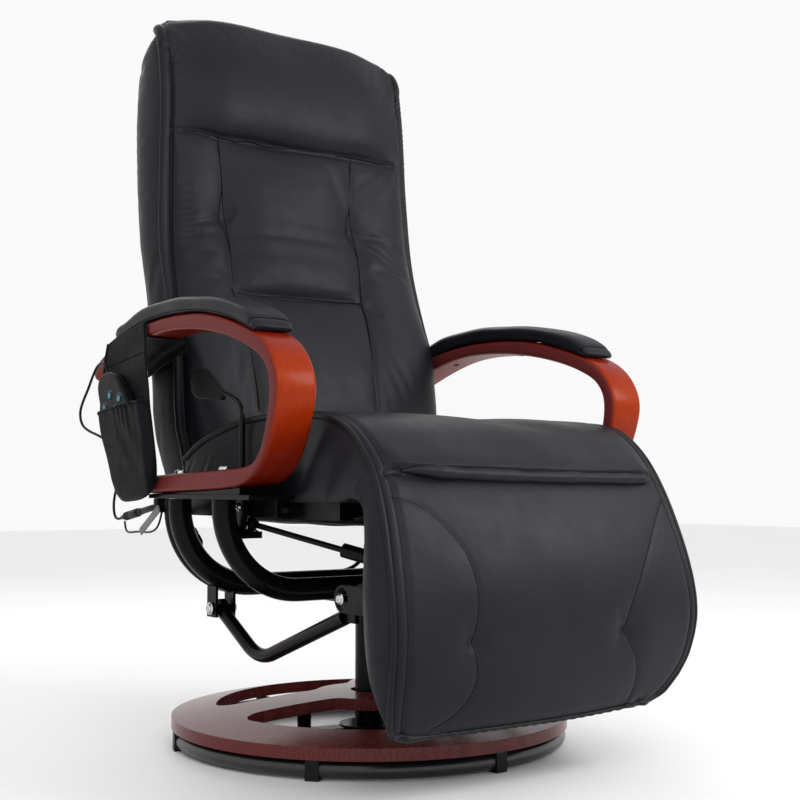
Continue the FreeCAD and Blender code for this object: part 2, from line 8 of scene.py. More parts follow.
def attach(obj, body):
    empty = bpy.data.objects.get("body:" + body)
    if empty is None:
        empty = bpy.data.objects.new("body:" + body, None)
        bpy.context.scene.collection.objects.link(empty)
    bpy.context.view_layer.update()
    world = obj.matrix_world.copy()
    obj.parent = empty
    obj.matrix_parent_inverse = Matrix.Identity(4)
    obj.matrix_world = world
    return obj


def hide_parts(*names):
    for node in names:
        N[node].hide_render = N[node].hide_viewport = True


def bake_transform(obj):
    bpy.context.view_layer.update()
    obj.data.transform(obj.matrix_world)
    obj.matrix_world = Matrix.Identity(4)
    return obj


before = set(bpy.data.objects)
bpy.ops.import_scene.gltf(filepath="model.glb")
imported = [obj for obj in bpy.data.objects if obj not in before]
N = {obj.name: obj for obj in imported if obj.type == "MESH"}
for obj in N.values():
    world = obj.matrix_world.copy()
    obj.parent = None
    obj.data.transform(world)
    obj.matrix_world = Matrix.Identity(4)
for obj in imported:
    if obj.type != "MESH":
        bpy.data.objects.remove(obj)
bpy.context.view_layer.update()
scene = bpy.context.scene
MM = 0.001
rng = np.random.default_rng(7)

# ------------------------------------------------------------------ camera
CAM = np.array([-1.10381, -1.60220, 0.37222])
RIGHT = np.array([0.81033269, -0.58596884, 0.00120766])
UP = np.array([-0.04015217, -0.05346983, 0.99776189])
FWD = np.array([0.5845928, 0.80856756, 0.06685627])
FOCAL = 1293.9
cam_data = bpy.data.cameras.new("camera")
cam_data.sensor_width = 36.0
cam_data.lens = FOCAL * 36.0 / 800.0
cam_data.clip_start, cam_data.clip_end = 0.02, 60.0
cam = bpy.data.objects.new("camera", cam_data)
scene.collection.objects.link(cam)
cam.matrix_world = Matrix(((RIGHT[0], UP[0], -FWD[0], CAM[0]), (RIGHT[1], UP[1], -FWD[1], CAM[1]),
                           (RIGHT[2], UP[2], -FWD[2], CAM[2]), (0, 0, 0, 1)))
scene.camera = cam


# ------------------------------------------------------------------ curve and mesh helpers
def cubic(x, Y, t):
    # natural cubic through the rows of Y at x, read at t
    x = np.asarray(x, float); Y = np.asarray(Y, float); t = np.asarray(t, float)
    flat = Y.ndim == 1
    if flat:
        Y = Y[:, None]
    n = len(x); h = np.diff(x)
    A = np.zeros((n, n)); B = np.zeros((n, Y.shape[1]))
    A[0, 0] = A[-1, -1] = 1
    for i in range(1, n - 1):
        A[i, i - 1] = h[i - 1]; A[i, i] = 2 * (h[i - 1] + h[i]); A[i, i + 1] = h[i]
        B[i] = 6 * ((Y[i + 1] - Y[i]) / h[i] - (Y[i] - Y[i - 1]) / h[i - 1])
    M = np.linalg.solve(A, B)
    k = np.clip(np.searchsorted(x, t) - 1, 0, n - 2)
    dx = (t - x[k])[:, None]; hk = h[k][:, None]
    r = (Y[k] + ((Y[k + 1] - Y[k]) / hk - hk * (2 * M[k] + M[k + 1]) / 6) * dx + M[k] / 2 * dx ** 2
         + (M[k + 1] - M[k]) / (6 * hk) * dx ** 3)
    return r[:, 0] if flat else r


def chord(P):
    P = np.asarray(P, float)
    return np.r_[0, np.cumsum(np.linalg.norm(np.diff(P, axis=0), axis=1))]


def through(P, n):
    # n points evenly spaced on a smooth line through P
    P = np.asarray(P, float)
    d = chord(P)
    Q = cubic(d, P, np.linspace(0, d[-1], n * 4))
    e = chord(Q)
    t = np.linspace(0, e[-1], n)
    return np.stack([np.interp(t, e, Q[:, k]) for k in range(P.shape[1])], 1)


def ramp(a, b, v):
    t = np.clip((np.asarray(v, float) - a) / (b - a), 0, 1)
    return t * t * (3 - 2 * t)


def new_object(name, verts, faces, material, smooth=True):
    me = bpy.data.meshes.new(name)
    me.from_pydata([tuple(map(float, v)) for v in verts], [], [tuple(map(int, f)) for f in faces])
    me.update()
    if smooth:
        me.polygons.foreach_set("use_smooth", [True] * len(me.polygons))
    o = bpy.data.objects.new(name, me)
    scene.collection.objects.link(o)
    for m in (material if isinstance(material, (list, tuple)) else [material]):
        if m is not None:
            me.materials.append(m)
    return o


def arrays(me):
    n = len(me.vertices)
    co = np.zeros(n * 3); me.vertices.foreach_get("co", co)
    no = np.zeros(n * 3); me.vertex_normals.foreach_get("vector", no)
    return co.reshape(-1, 3), no.reshape(-1, 3)


def set_points(me, co):
    me.vertices.foreach_set("co", np.asarray(co, np.float32).ravel())
    me.update()


def baked(o):
    # the object's evaluated mesh as its own mesh, modifiers removed
    dg = bpy.context.evaluated_depsgraph_get()
    me = bpy.data.meshes.new_from_object(o.evaluated_get(dg))
    o.modifiers.clear()
    o.data = me
    return o


def refine(o, levels=1):
    m = o.modifiers.new("fine", "SUBSURF")
    m.levels = m.render_levels = levels
    baked(o)
    o.data.polygons.foreach_set("use_smooth", [True] * len(o.data.polygons))
    return o


def loop_faces(nu, nv, flip=False):
    # quads of nu closed loops with nv points each
    f = []
    for i in range(nu - 1):
        for j in range(nv):
            k = (j + 1) % nv
            q = (i * nv + j, i * nv + k, (i + 1) * nv + k, (i + 1) * nv + j)
            f.append(q[::-1] if flip else q)
    return f


def sheet_faces(nu, nv, flip=False):
    f = []
    for i in range(nu - 1):
        for j in range(nv - 1):
            q = (i * nv + j, i * nv + j + 1, (i + 1) * nv + j + 1, (i + 1) * nv + j)
            f.append(q[::-1] if flip else q)
    return f


def sweep_parts(path, radius, sides=10, squash=1.0):
    P = np.asarray(path, float); n = len(P)
    T = np.gradient(P, axis=0); T /= np.linalg.norm(T, axis=1)[:, None] + 1e-12
    ref = np.array([0, 0, 1.0]) if abs(T[0][2]) < 0.9 else np.array([1.0, 0, 0])
    nn = ref - T[0] * (ref @ T[0]); nn /= np.linalg.norm(nn)
    A = [nn]
    for i in range(1, n):
        v = A[-1] - T[i] * (A[-1] @ T[i]); A.append(v / (np.linalg.norm(v) + 1e-12))
    A = np.array(A); B = np.cross(T, A)
    r = np.broadcast_to(np.asarray(radius, float), (n,))
    ang = np.linspace(0, 2 * math.pi, sides, endpoint=False)
    V = P[:, None, :] + r[:, None, None] * (np.cos(ang)[None, :, None] * A[:, None, :] + squash * np.sin(ang)[None, :, None] * B[:, None, :])
    f = loop_faces(n, sides)
    f += [tuple(range(sides))[::-1], tuple((n - 1) * sides + j for j in range(sides))]
    return V.reshape(-1, 3), f


def sweep(name, paths, radius, material, sides=10, squash=1.0):
    V, F, base = [], [], 0
    for p in paths:
        v, f = sweep_parts(p, radius, sides, squash)
        V.append(v); F += [tuple(i + base for i in q) for q in f]; base += len(v)
    return new_object(name, np.concatenate(V), F, material)


def lathe_parts(p0, axis, prof, sides=28):
    a = np.asarray(axis, float); a /= np.linalg.norm(a)
    ref = np.array([0, 0, 1.0]) if abs(a[2]) < 0.9 else np.array([1.0, 0, 0])
    u = ref - a * (ref @ a); u /= np.linalg.norm(u); w = np.cross(a, u)
    ang = np.linspace(0, 2 * math.pi, sides, endpoint=False)
    V = []
    for s, r in prof:
        V.append(np.asarray(p0) + a * s + r * (np.cos(ang)[:, None] * u + np.sin(ang)[:, None] * w))
    f = loop_faces(len(prof), sides)
    f += [tuple(range(sides))[::-1], tuple((len(prof) - 1) * sides + j for j in range(sides))]
    return np.concatenate(V), f


def lathe(name, items, material, sides=28):
    V, F, base = [], [], 0
    for p0, axis, prof in items:
        v, f = lathe_parts(p0, axis, prof, sides)
        V.append(v); F += [tuple(i + base for i in q) for q in f]; base += len(v)
    return new_object(name, np.concatenate(V), F, material)


# ------------------------------------------------------------------ materials
def material(name, color, rough, metallic=0.0):
    m = bpy.data.materials.new(name)
    m.use_nodes = True
    t = m.node_tree
    b = t.nodes["Principled BSDF"]
    b.inputs["Base Color"].default_value = (*color, 1)
    b.inputs["Roughness"].default_value = rough
    b.inputs["Metallic"].default_value = metallic
    return m, t, b


def add(t, kind, **kw):
    n = t.nodes.new(kind)
    for k, v in kw.items():
        if k in n.inputs:
            n.inputs[k].default_value = v
        else:
            setattr(n, k, v)
    return n


def coords(t, which="Object", scale=None):
    c = add(t, "ShaderNodeTexCoord")
    if scale is None:
        return c.outputs[which]
    mp = add(t, "ShaderNodeMapping")
    mp.inputs["Scale"].default_value = scale
    t.links.new(c.outputs[which], mp.inputs["Vector"])
    return mp.outputs["Vector"]


def noise(t, vec, scale, detail=3.0, rough=0.55):
    n = add(t, "ShaderNodeTexNoise")
    n.inputs["Scale"].default_value = scale
    n.inputs["Detail"].default_value = detail
    n.inputs["Roughness"].default_value = rough
    t.links.new(vec, n.inputs["Vector"])
    return n.outputs["Fac"]


def spread(t, fac, lo, hi, a=0.3, b=0.7):
    n = add(t, "ShaderNodeMapRange")
    n.inputs["From Min"].default_value = a; n.inputs["From Max"].default_value = b
    n.inputs["To Min"].default_value = lo; n.inputs["To Max"].default_value = hi
    t.links.new(fac, n.inputs["Value"])
    return n.outputs["Result"]


def blend_rgb(t, fac, c1, c2):
    n = add(t, "ShaderNodeValToRGB")
    n.color_ramp.elements[0].color = (*c1, 1); n.color_ramp.elements[1].color = (*c2, 1)
    n.color_ramp.elements[0].position = 0.3; n.color_ramp.elements[1].position = 0.7
    t.links.new(fac, n.inputs["Fac"])
    return n.outputs["Color"]


def bump(t, b, height, strength, distance, prev=None):
    n = add(t, "ShaderNodeBump")
    n.inputs["Strength"].default_value = strength
    n.inputs["Distance"].default_value = distance
    t.links.new(height, n.inputs["Height"])
    if prev is not None:
        t.links.new(prev.outputs["Normal"], n.inputs["Normal"])
    t.links.new(n.outputs["Normal"], b.inputs["Normal"])
    return n


def make_leather(name, c1, c2, r1, r2):
    m, t, b = material(name, c1, 0.45)
    v = coords(t)
    t.links.new(blend_rgb(t, noise(t, v, 9.0, 4), c1, c2), b.inputs["Base Color"])
    t.links.new(spread(t, noise(t, v, 30.0, 4), r1, r2), b.inputs["Roughness"])
    vo = add(t, "ShaderNodeTexVoronoi", feature="SMOOTH_F1")
    vo.inputs["Scale"].default_value = 620.0
    vo.inputs["Smoothness"].default_value = 0.6
    t.links.new(v, vo.inputs["Vector"])
    n1 = bump(t, b, vo.outputs["Distance"], 0.22, 0.0006)
    n2 = bump(t, b, noise(t, v, 240.0, 3), 0.12, 0.0008, n1)
    bump(t, b, noise(t, v, 26.0, 2), 0.05, 0.004, n2)
    b.inputs["Specular IOR Level"].default_value = 0.18
    return m


LEATHER = make_leather("leather_black", (0.0058, 0.0062, 0.0090), (0.0090, 0.0096, 0.0136), 0.41, 0.48)
WELT = make_leather("leather_welt", (0.0048, 0.0050, 0.0064), (0.0074, 0.0077, 0.0098), 0.33, 0.43)


def make_wood(name, dark, mid, light, r1, r2, coat, along, axis="UV", painted_light_z=None):
    m, t, b = material(name, mid, 0.35)
    v = coords(t, axis, along)
    fine = noise(t, v, 6.0, 6, 0.65)
    warp = add(t, "ShaderNodeTexNoise")
    warp.inputs["Scale"].default_value = 1.3
    warp.inputs["Detail"].default_value = 3.0
    t.links.new(v, warp.inputs["Vector"])
    wave = add(t, "ShaderNodeTexWave")
    wave.inputs["Scale"].default_value = 1.1
    wave.inputs["Distortion"].default_value = 5.5
    wave.inputs["Detail"].default_value = 3.0
    wave.bands_direction = "Y"
    t.links.new(v, wave.inputs["Vector"])
    mix = add(t, "ShaderNodeMath", operation="MULTIPLY_ADD")
    t.links.new(wave.outputs["Fac"], mix.inputs[0])
    mix.inputs[1].default_value = 0.35
    t.links.new(fine, mix.inputs[2])
    cr = add(t, "ShaderNodeValToRGB")
    cr.color_ramp.elements[0].position = 0.34; cr.color_ramp.elements[0].color = (*dark, 1)
    cr.color_ramp.elements[1].position = 0.95; cr.color_ramp.elements[1].color = (*light, 1)
    e = cr.color_ramp.elements.new(0.62); e.color = (*mid, 1)
    t.links.new(mix.outputs[0], cr.inputs["Fac"])
    if painted_light_z is None:
        t.links.new(cr.outputs["Color"], b.inputs["Base Color"])
    else:                                                        # painted light by height: a painted highlight band at mid height, painted shade towards the top and bottom bends
        sep = add(t, "ShaderNodeSeparateXYZ")
        t.links.new(coords(t), sep.inputs[0])
        painted_light_ramp = add(t, "ShaderNodeValToRGB")
        el = painted_light_ramp.color_ramp.elements
        el[0].position, el[0].color = painted_light_z[0][0], (*painted_light_z[0][1], 1)
        el[1].position, el[1].color = painted_light_z[-1][0], (*painted_light_z[-1][1], 1)
        for z_, c_ in painted_light_z[1:-1]:
            q = el.new(z_); q.color = (*c_, 1)
        t.links.new(sep.outputs["Z"], painted_light_ramp.inputs["Fac"])
        mul = add(t, "ShaderNodeMix", data_type="RGBA", blend_type="MULTIPLY")
        mul.inputs[0].default_value = 1.0
        t.links.new(cr.outputs["Color"], mul.inputs[6]); t.links.new(painted_light_ramp.outputs["Color"], mul.inputs[7])
        t.links.new(mul.outputs[2], b.inputs["Base Color"])
    t.links.new(spread(t, fine, r1, r2), b.inputs["Roughness"])
    bump(t, b, fine, 0.06, 0.0006)
    b.inputs["Coat Weight"].default_value = coat
    b.inputs["Coat Roughness"].default_value = 0.20
    b.inputs["Specular IOR Level"].default_value = 0.05
    return m


# the front face of the arms carries painted light: a painted highlight band near z 0.505 and painted shade towards the
# top and bottom bends
WOOD_FACE = make_wood("wood_lacquer", (0.225, 0.0165, 0.0010), (0.285, 0.0260, 0.0013), (0.345, 0.0390, 0.0018), 0.30, 0.38, 0.13, (9.0, 110.0, 1.0), "UV",
                      [(0.370, (0.34, 0.18, 0.9)), (0.420, (0.56, 0.32, 0.8)), (0.465, (0.90, 0.72, 0.8)), (0.505, (1.0, 1.0, 0.9)), (0.535, (0.90, 0.72, 0.8)), (0.565, (0.58, 0.32, 0.8)), (0.610, (0.50, 0.26, 0.9))])
WOOD_SIDE = make_wood("wood_edge", (0.105, 0.0170, 0.0165), (0.130, 0.0220, 0.0210), (0.160, 0.0290, 0.0270), 0.42, 0.52, 0.08, (9.0, 160.0, 1.0))
WOOD_BASE = make_wood("wood_base", (0.070, 0.0100, 0.0095), (0.098, 0.0145, 0.0135), (0.130, 0.0210, 0.0190), 0.22, 0.32, 0.40, (5.0, 60.0, 60.0), "Object")


def make_painted(name, c, r1, r2, scale=900.0, strength=0.10, spec=0.16):
    m, t, b = material(name, c, r1)
    v = coords(t)
    t.links.new(spread(t, noise(t, v, 45.0, 4), r1, r2), b.inputs["Roughness"])
    t.links.new(blend_rgb(t, noise(t, v, 12.0, 3), tuple(x * 0.85 for x in c), tuple(x * 1.2 for x in c)), b.inputs["Base Color"])
    bump(t, b, noise(t, v, scale, 2), strength, 0.0004)
    b.inputs["Specular IOR Level"].default_value = spec
    return m


STEEL = make_painted("satin_black", (0.0024, 0.0024, 0.0025), 0.20, 0.30, 900.0, 0.06, 0.11)
RODBLK = make_painted("gloss_black", (0.0028, 0.0028, 0.0030), 0.14, 0.22, 700.0, 0.04, 0.14)
RINGBLK = make_painted("ring_gloss", (0.0050, 0.0050, 0.0053), 0.26, 0.34, 900.0, 0.05, 0.60)
PLASTIC = make_painted("moulded_black", (0.0050, 0.0050, 0.0053), 0.42, 0.55, 1500.0, 0.22)
HANDSET = make_painted("handset_shell", (0.0036, 0.0037, 0.0041), 0.36, 0.46, 1800.0, 0.15, 0.08)
RUBBER = make_painted("rubber_pad", (0.0090, 0.0090, 0.0090), 0.70, 0.85, 1200.0, 0.3)
CORDM = make_painted("cord_sheath", (0.0040, 0.0040, 0.0042), 0.32, 0.42, 1500.0, 0.1)
TEAL = make_painted("button_teal", (0.055, 0.205, 0.275), 0.40, 0.50, 1600.0, 0.12)
MARK = make_painted("button_mark", (0.200, 0.290, 0.330), 0.45, 0.55, 1600.0, 0.1)
GREY = make_painted("tie_grey", (0.200, 0.200, 0.210), 0.50, 0.65, 1400.0, 0.3)
BOARD = make_painted("board_black", (0.0120, 0.0110, 0.0105), 0.55, 0.70, 400.0, 0.3)


def make_metal(name, c, r1, r2, stretch):
    m, t, b = material(name, c, r1, 1.0)
    v = coords(t, "Object", stretch)
    t.links.new(spread(t, noise(t, v, 60.0, 3), r1, r2), b.inputs["Roughness"])
    bump(t, b, noise(t, v, 400.0, 2), 0.05, 0.0003)
    return m


CHROME = make_metal("bright_plate", (0.56, 0.56, 0.58), 0.12, 0.22, (1, 1, 1))
BRIGHT = make_metal("ground_steel", (0.46, 0.46, 0.47), 0.22, 0.34, (1, 12, 1))


def make_weave(name, c, scale):
    m, t, b = material(name, c, 0.6)
    v = coords(t)
    w1 = add(t, "ShaderNodeTexWave"); w1.bands_direction = "Y"
    w2 = add(t, "ShaderNodeTexWave"); w2.bands_direction = "Z"
    for w in (w1, w2):
        w.inputs["Scale"].default_value = scale
        w.inputs["Distortion"].default_value = 0.6
        t.links.new(v, w.inputs["Vector"])
    mx = add(t, "ShaderNodeMath", operation="MAXIMUM")
    t.links.new(w1.outputs["Fac"], mx.inputs[0]); t.links.new(w2.outputs["Fac"], mx.inputs[1])
    t.links.new(blend_rgb(t, noise(t, v, 40.0, 4), tuple(x * 0.7 for x in c), tuple(x * 1.35 for x in c)), b.inputs["Base Color"])
    t.links.new(spread(t, noise(t, v, 80.0, 3), 0.46, 0.62), b.inputs["Roughness"])
    n1 = bump(t, b, mx.outputs[0], 0.25, 0.0004)
    bump(t, b, noise(t, v, 60.0, 3), 0.25, 0.002, n1)
    b.inputs["Sheen Weight"].default_value = 0.01
    b.inputs["Specular IOR Level"].default_value = 0.05
    return m


FABRIC = make_weave("pouch_fabric", (0.0062, 0.0066, 0.0082), 420.0)
CLOTH = make_weave("underside_cloth", (0.0040, 0.0040, 0.0044), 300.0)
THREAD = make_painted("seam_dark", (0.0012, 0.0012, 0.0013), 0.75, 0.90, 2200.0, 0.3)


# ------------------------------------------------------------------ soft-surface tools
def inflate(name, V, F, pin, cap, pressure=4.0, frames=20):
    # a short pressure simulation with the seams held; returns the capped result
    o = new_object(name, V, F, None)
    g = o.vertex_groups.new(name="held")
    for level in np.unique(np.round(pin, 2)):
        if level > 0:
            g.add([int(i) for i in np.nonzero(np.round(pin, 2) == level)[0]], float(level), "REPLACE")
    md = o.modifiers.new("cloth", "CLOTH")
    s = md.settings
    s.quality = 4
    s.mass = 0.25
    s.tension_stiffness = s.compression_stiffness = 12
    s.shear_stiffness = 6
    s.bending_stiffness = 0.6
    s.air_damping = 2.0
    s.use_pressure = True
    s.uniform_pressure_force = pressure
    s.effector_weights.gravity = 0.0
    s.vertex_group_mass = "held"
    s.pin_stiffness = 1.0
    md.collision_settings.use_collision = False
    md.collision_settings.use_self_collision = False
    md.point_cache.frame_start, md.point_cache.frame_end = 1, frames
    for f in range(1, frames + 1):
        scene.frame_set(f)
    dg = bpy.context.evaluated_depsgraph_get()
    e = o.evaluated_get(dg)
    me = bpy.data.meshes.new_from_object(e)
    R = arrays(me)[0].copy()
    bpy.data.objects.remove(o)
    bpy.data.meshes.remove(me)
    scene.frame_set(1)
    d = R - V
    L = np.linalg.norm(d, axis=1)
    k = np.where(L > 1e-9, cap * np.tanh(L / cap) / np.maximum(L, 1e-9), 0.0)
    return V + d * k[:, None]


def cast_line(tree, px, step=2.0):
    # points where view rays meet the surface
    px = np.asarray(px, float)
    d = chord(px)
    t = np.linspace(0, d[-1], max(2, int(d[-1] / step) + 1))
    pts = cubic(d, px, t) if len(px) > 2 else np.stack([np.interp(t, d, px[:, k]) for k in (0, 1)], 1)
    out = []
    for x, y in pts:
        v = FWD + (x - 400) / FOCAL * RIGHT - (y - 400) / FOCAL * UP
        hit = tree.ray_cast(Vector(CAM), Vector(v).normalized())
        if hit[0] is not None:
            out.append(np.array(hit[0]))
    return np.array(out)


def dense(L, step=0.0015):
    d = chord(L)
    t = np.linspace(0, d[-1], max(3, int(d[-1] / step)))
    return np.stack([np.interp(t, d, L[:, k]) for k in range(3)], 1)


def reach(V, L, far):
    # distance of each vertex to a line of points, and the place along it; far vertices keep a large distance
    lo, hi = L.min(0) - far, L.max(0) + far
    idx = np.nonzero(np.all((V >= lo) & (V <= hi), axis=1))[0]
    D = np.full(len(V), 9.0); S = np.zeros(len(V))
    for k in range(0, len(idx), 4000):
        q = idx[k:k + 4000]
        d2 = ((V[q][:, None, :] - L[None, :, :]) ** 2).sum(2)
        a = d2.argmin(1)
        D[q] = np.sqrt(d2[np.arange(len(q)), a]); S[q] = a / max(1, len(L) - 1)
    return D, S


def mark(V, Nn, line, depth, width, taper=0.0):
    # groove (positive depth) or ridge along a line
    L = dense(line)
    D, S = reach(V, L, width * 3.2)
    a = np.exp(-(D / width) ** 2)
    if taper:
        a = a * np.clip(np.minimum(S, 1 - S) / taper, 0, 1) ** 0.7
    return V - Nn * (depth * a)[:, None]


def seated(tree, line, lift=0.0):
    out = []
    for p in line:
        q = tree.find_nearest(Vector(p))
        if q[0] is not None:
            out.append(np.array(q[0]) + np.array(q[1]) * lift)
    return np.array(out)


def eased(L, times=4):
    L = np.array(L, float)
    for _ in range(times):
        L[1:-1] = (L[:-2] + 2 * L[1:-1] + L[2:]) / 4
    return L


def sunk(tree, L, depth):
    # the line set below the surface by depth, along an evened normal
    P = dense(eased(L), 0.003)
    Q, M = [], []
    for q in P:
        hit = tree.find_nearest(Vector(q))
        Q.append(np.array(hit[0])); M.append(np.array(hit[1]))
    Q, M = eased(np.array(Q), 3), eased(np.array(M), 6)
    M /= np.linalg.norm(M, axis=1)[:, None]
    return Q - M * depth


def tree_of(o):
    me = o.data
    return BVHTree.FromPolygons([v.co for v in me.vertices], [tuple(p.vertices) for p in me.polygons])


def end_cap(loop, top, bottom, base_mid, flip):
    # faces from a closed loop to a middle row; top and bottom are matched index rows, the rest fans to the row ends
    f = []
    n = len(top)
    for j in range(n - 1):
        f.append((loop[top[j]], loop[top[j + 1]], base_mid + j + 1, base_mid + j))
        f.append((loop[bottom[j + 1]], loop[bottom[j]], base_mid + j, base_mid + j + 1))
    m = len(loop)
    k = top[-1]
    while k != bottom[-1]:
        f.append((loop[k % m], loop[(k + 1) % m], base_mid + n - 1)); k = (k + 1) % m
    k = bottom[0]
    while k != top[0]:
        f.append((loop[k % m], loop[(k + 1) % m], base_mid)); k = (k + 1) % m
    return [q[::-1] for q in f] if flip else f


def crop(ox, oy, s, pts):
    return [(ox + x / s, oy + y / s) for x, y in pts]


# ------------------------------------------------------------------ seat and footrest cover
# outer edge with its piping, and the matching lower or rear edge, from the back of the seat to the hem (y, z)
EDGE = [((137, 417), (137, 362)), ((106, 433), (106, 356)), ((59, 449), (59, 353)), ((13, 458), (13, 352)), ((-31, 465), (-31, 352)),
        ((-94, 470), (-94, 352)), ((-160, 470), (-155, 352)), ((-229, 466), (-212, 352)), ((-262, 461), (-243, 352)),
        ((-287, 453), (-266, 352)), ((-310, 439), (-281, 353)), ((-331, 420), (-291, 355)), ((-349, 399), (-300, 357)),
        ((-364, 375), (-314, 355)), ((-377, 348), (-331, 344)), ((-389, 318), (-340, 318)), ((-400, 285), (-343, 284)),
        ((-408.5, 252), (-343, 250)), ((-413, 225), (-345, 222)), ((-414, 198), (-347, 197)), ((-411, 171), (-350, 172)),
        ((-406, 143), (-356, 145)), ((-400, 118), (-370, 118)), ((-393, 95), (-383, 98)), ((-388, 82), (-390, 85))]
HALF_R = [240, 240, 240, 240, 240, 240, 240, 240, 240, 239.5, 239, 238.5, 238, 239, 241, 243.5, 246.5, 248.5, 249.5, 249.5, 249, 248, 246, 242, 236]
HALF_L = [240, 240, 240, 240, 240, 240, 240, 240, 240, 239.5, 239, 238.5, 238, 239, 241, 243.5, 246.5, 248.5, 249.5, 249, 246, 240, 228, 210, 192]
RISE = [2, 3, 4, 4, 4, 4, 4, 4, 4, 5, 6, 7, 7, 7, 8, 8, 8, 8, 8, 8, 8, 8, 7, 5, 2]
CROWN = [0, 0, -2, -3, -3, -3, -2, 0, 1, 2, 3, 4, 4, 5, 6, 7, 8, 8, 8, 8, 8, 7, 6, 4, 2]
BULGE = [2, 2, 2, 2, 2, 2, 2, 5, 7, 7, 6, 5, 5, 7, 10, 13, 15, 16, 15, 14, 12, 9, 6, 2, 0]
O_ = np.array([p[0] for p in EDGE], float); I_ = np.array([p[1] for p in EDGE], float)
tan_ = np.gradient(O_, axis=0); tan_ /= np.linalg.norm(tan_, axis=1)[:, None]
O_ = O_ - 4.0 * np.stack([tan_[:, 1], -tan_[:, 0]], 1)        # the piping stands on this line
key = chord(O_)
lip_t = key[12] + 11.0
t_list, t = [], 0.0
while t < key[-1]:
    t_list.append(t)
    t += 2.4 if abs(t - lip_t) < 34 else (4.0 if abs(t - lip_t) < 60 else 6.2)
ts = np.array(t_list + [key[-1]])
O = cubic(key, O_, ts); I = cubic(key, I_, ts)
WR = np.interp(ts, key, HALF_R); WL = np.interp(ts, key, HALF_L)
RS = np.interp(ts, key, RISE); CR = np.interp(ts, key, CROWN); BU = np.interp(ts, key, BULGE)
Tn = np.gradient(O, axis=0); Tn /= np.linalg.norm(Tn, axis=1)[:, None]
NO = np.stack([Tn[:, 1], -Tn[:, 0]], 1)
NT, NB, NS = 85, 4, 13
WB = 15.0
a = np.linspace(-1, 1, NT)
rows, col = [], {}
for i in range(len(ts)):
    o, q, n = O[i], I[i], NO[i]
    pts = []
    side = lambda s: WR[i] if s < 0 else WL[i]

    def put(x, base, out):
        pts.append((x, base[0] + n[0] * out, base[1] + n[1] * out))
    for v in a:                                                  # main panel
        put(v * (side(v) - WB), o, RS[i] + CR[i] * (1 - abs(v) ** 2.2))
    for k in range(1, NB + 1):                                   # welt band to the piping
        f = k / NB
        put(side(1) - WB + WB * f, o, RS[i] * math.cos(f * math.pi / 2))
    for k in range(1, NS + 1):                                   # side panel
        f = k / NS
        p = o + (q - o) * f
        pts.append((side(1) - 3 * f + BU[i] * math.sin(math.pi * f), p[0], p[1]))
    for v in a[::-1][1:-1]:                                      # underside
        w = side(v) - 3
        pts.append((v * w, q[0], q[1]))
    for k in range(NS, 0, -1):
        f = k / NS
        p = o + (q - o) * f
        pts.append((-(side(-1) - 3 * f + BU[i] * math.sin(math.pi * f)), p[0], p[1]))
    for k in range(NB, 0, -1):
        f = k / NB
        put(-(side(-1) - WB + WB * f), o, RS[i] * math.cos(f * math.pi / 2))
    rows.append(pts)
SV = np.array(rows) * MM
nu, nv = SV.shape[0], SV.shape[1]
col["seam_l"], col["pipe_l"] = NT - 1, NT - 1 + NB
col["low_l"] = NT - 1 + NB + NS
col["low_r"] = col["low_l"] + NT - 1
col["pipe_r"], col["seam_r"] = col["low_r"] + NS, 0
# the seat dips under the backrest between its side wings
ys, xs = SV[:, :NT, 1], np.abs(SV[:, :NT, 0])
dip = ramp(0.082, 0.104, ys) * (1 - ramp(0.2265, 0.2345, xs))
SV[:, :NT, 2] -= dip * (SV[:, :NT, 2] - 0.394)
# loose gathers in the side panels, fanning from the rear corner and the knee
for c0, c1, sg in ((col["pipe_l"], col["low_l"], 1), (col["low_r"], col["pipe_r"], -1)):
    y, z = SV[:, c0:c1 + 1, 1], SV[:, c0:c1 + 1, 2]
    ph = (y + 0.85 * (z - 0.36)) / 0.0125
    amp = ramp(-0.02, 0.04, y) * ramp(0.352, 0.362, z) * (1 - ramp(0.375, 0.425, z)) * (0.55 + 0.45 * np.sin(ph * 1.7 + 0.4))
    knee = np.exp(-(((y + 0.235) / 0.06) ** 2 + ((z - 0.395) / 0.045) ** 2))
    SV[:, c0:c1 + 1, 0] += sg * (0.0030 * amp * np.sin(ph * 2 * math.pi / 1.35 + 1.9 * np.sin(ph * 0.53) + 0.8 * np.sin(ph * 1.31))
                                 + 0.0040 * knee * np.sin((y * 0.75 + z * 0.65) / 0.011))
flat = SV.reshape(-1, 3)
bottom_idx = [col["low_r"] - k for k in range(NT)]
F = loop_faces(nu, nv, flip=True)
mids = []
for i, fl in ((0, False), (nu - 1, True)):
    loop = [i * nv + j for j in range(nv)]
    base = len(flat) + len(mids) * NT
    mids.append((SV[i, :NT] + SV[i, bottom_idx]) / 2)
    F += end_cap(loop, list(range(NT)), bottom_idx, base, not fl)
flat = np.concatenate([flat] + mids)
pin = np.ones(len(flat))
g = np.ones((nu, nv))
g[:, 1:NT - 1] = 0.0
for c0, c1 in ((col["pipe_l"], col["low_l"]), (col["low_r"], col["pipe_r"])):
    g[:, c0 + 1:c1] = 0.0
g[:4, :] = 1.0; g[-4:, :] = 1.0
lip_rows = np.abs(ts - lip_t) < 9
g[lip_rows, :] = 1.0
g[:, :NT][ys > 0.06] = 1.0
pin[:nu * nv] = g.ravel()
flat = inflate("seat_cover_sim", flat, F, pin, 0.007)
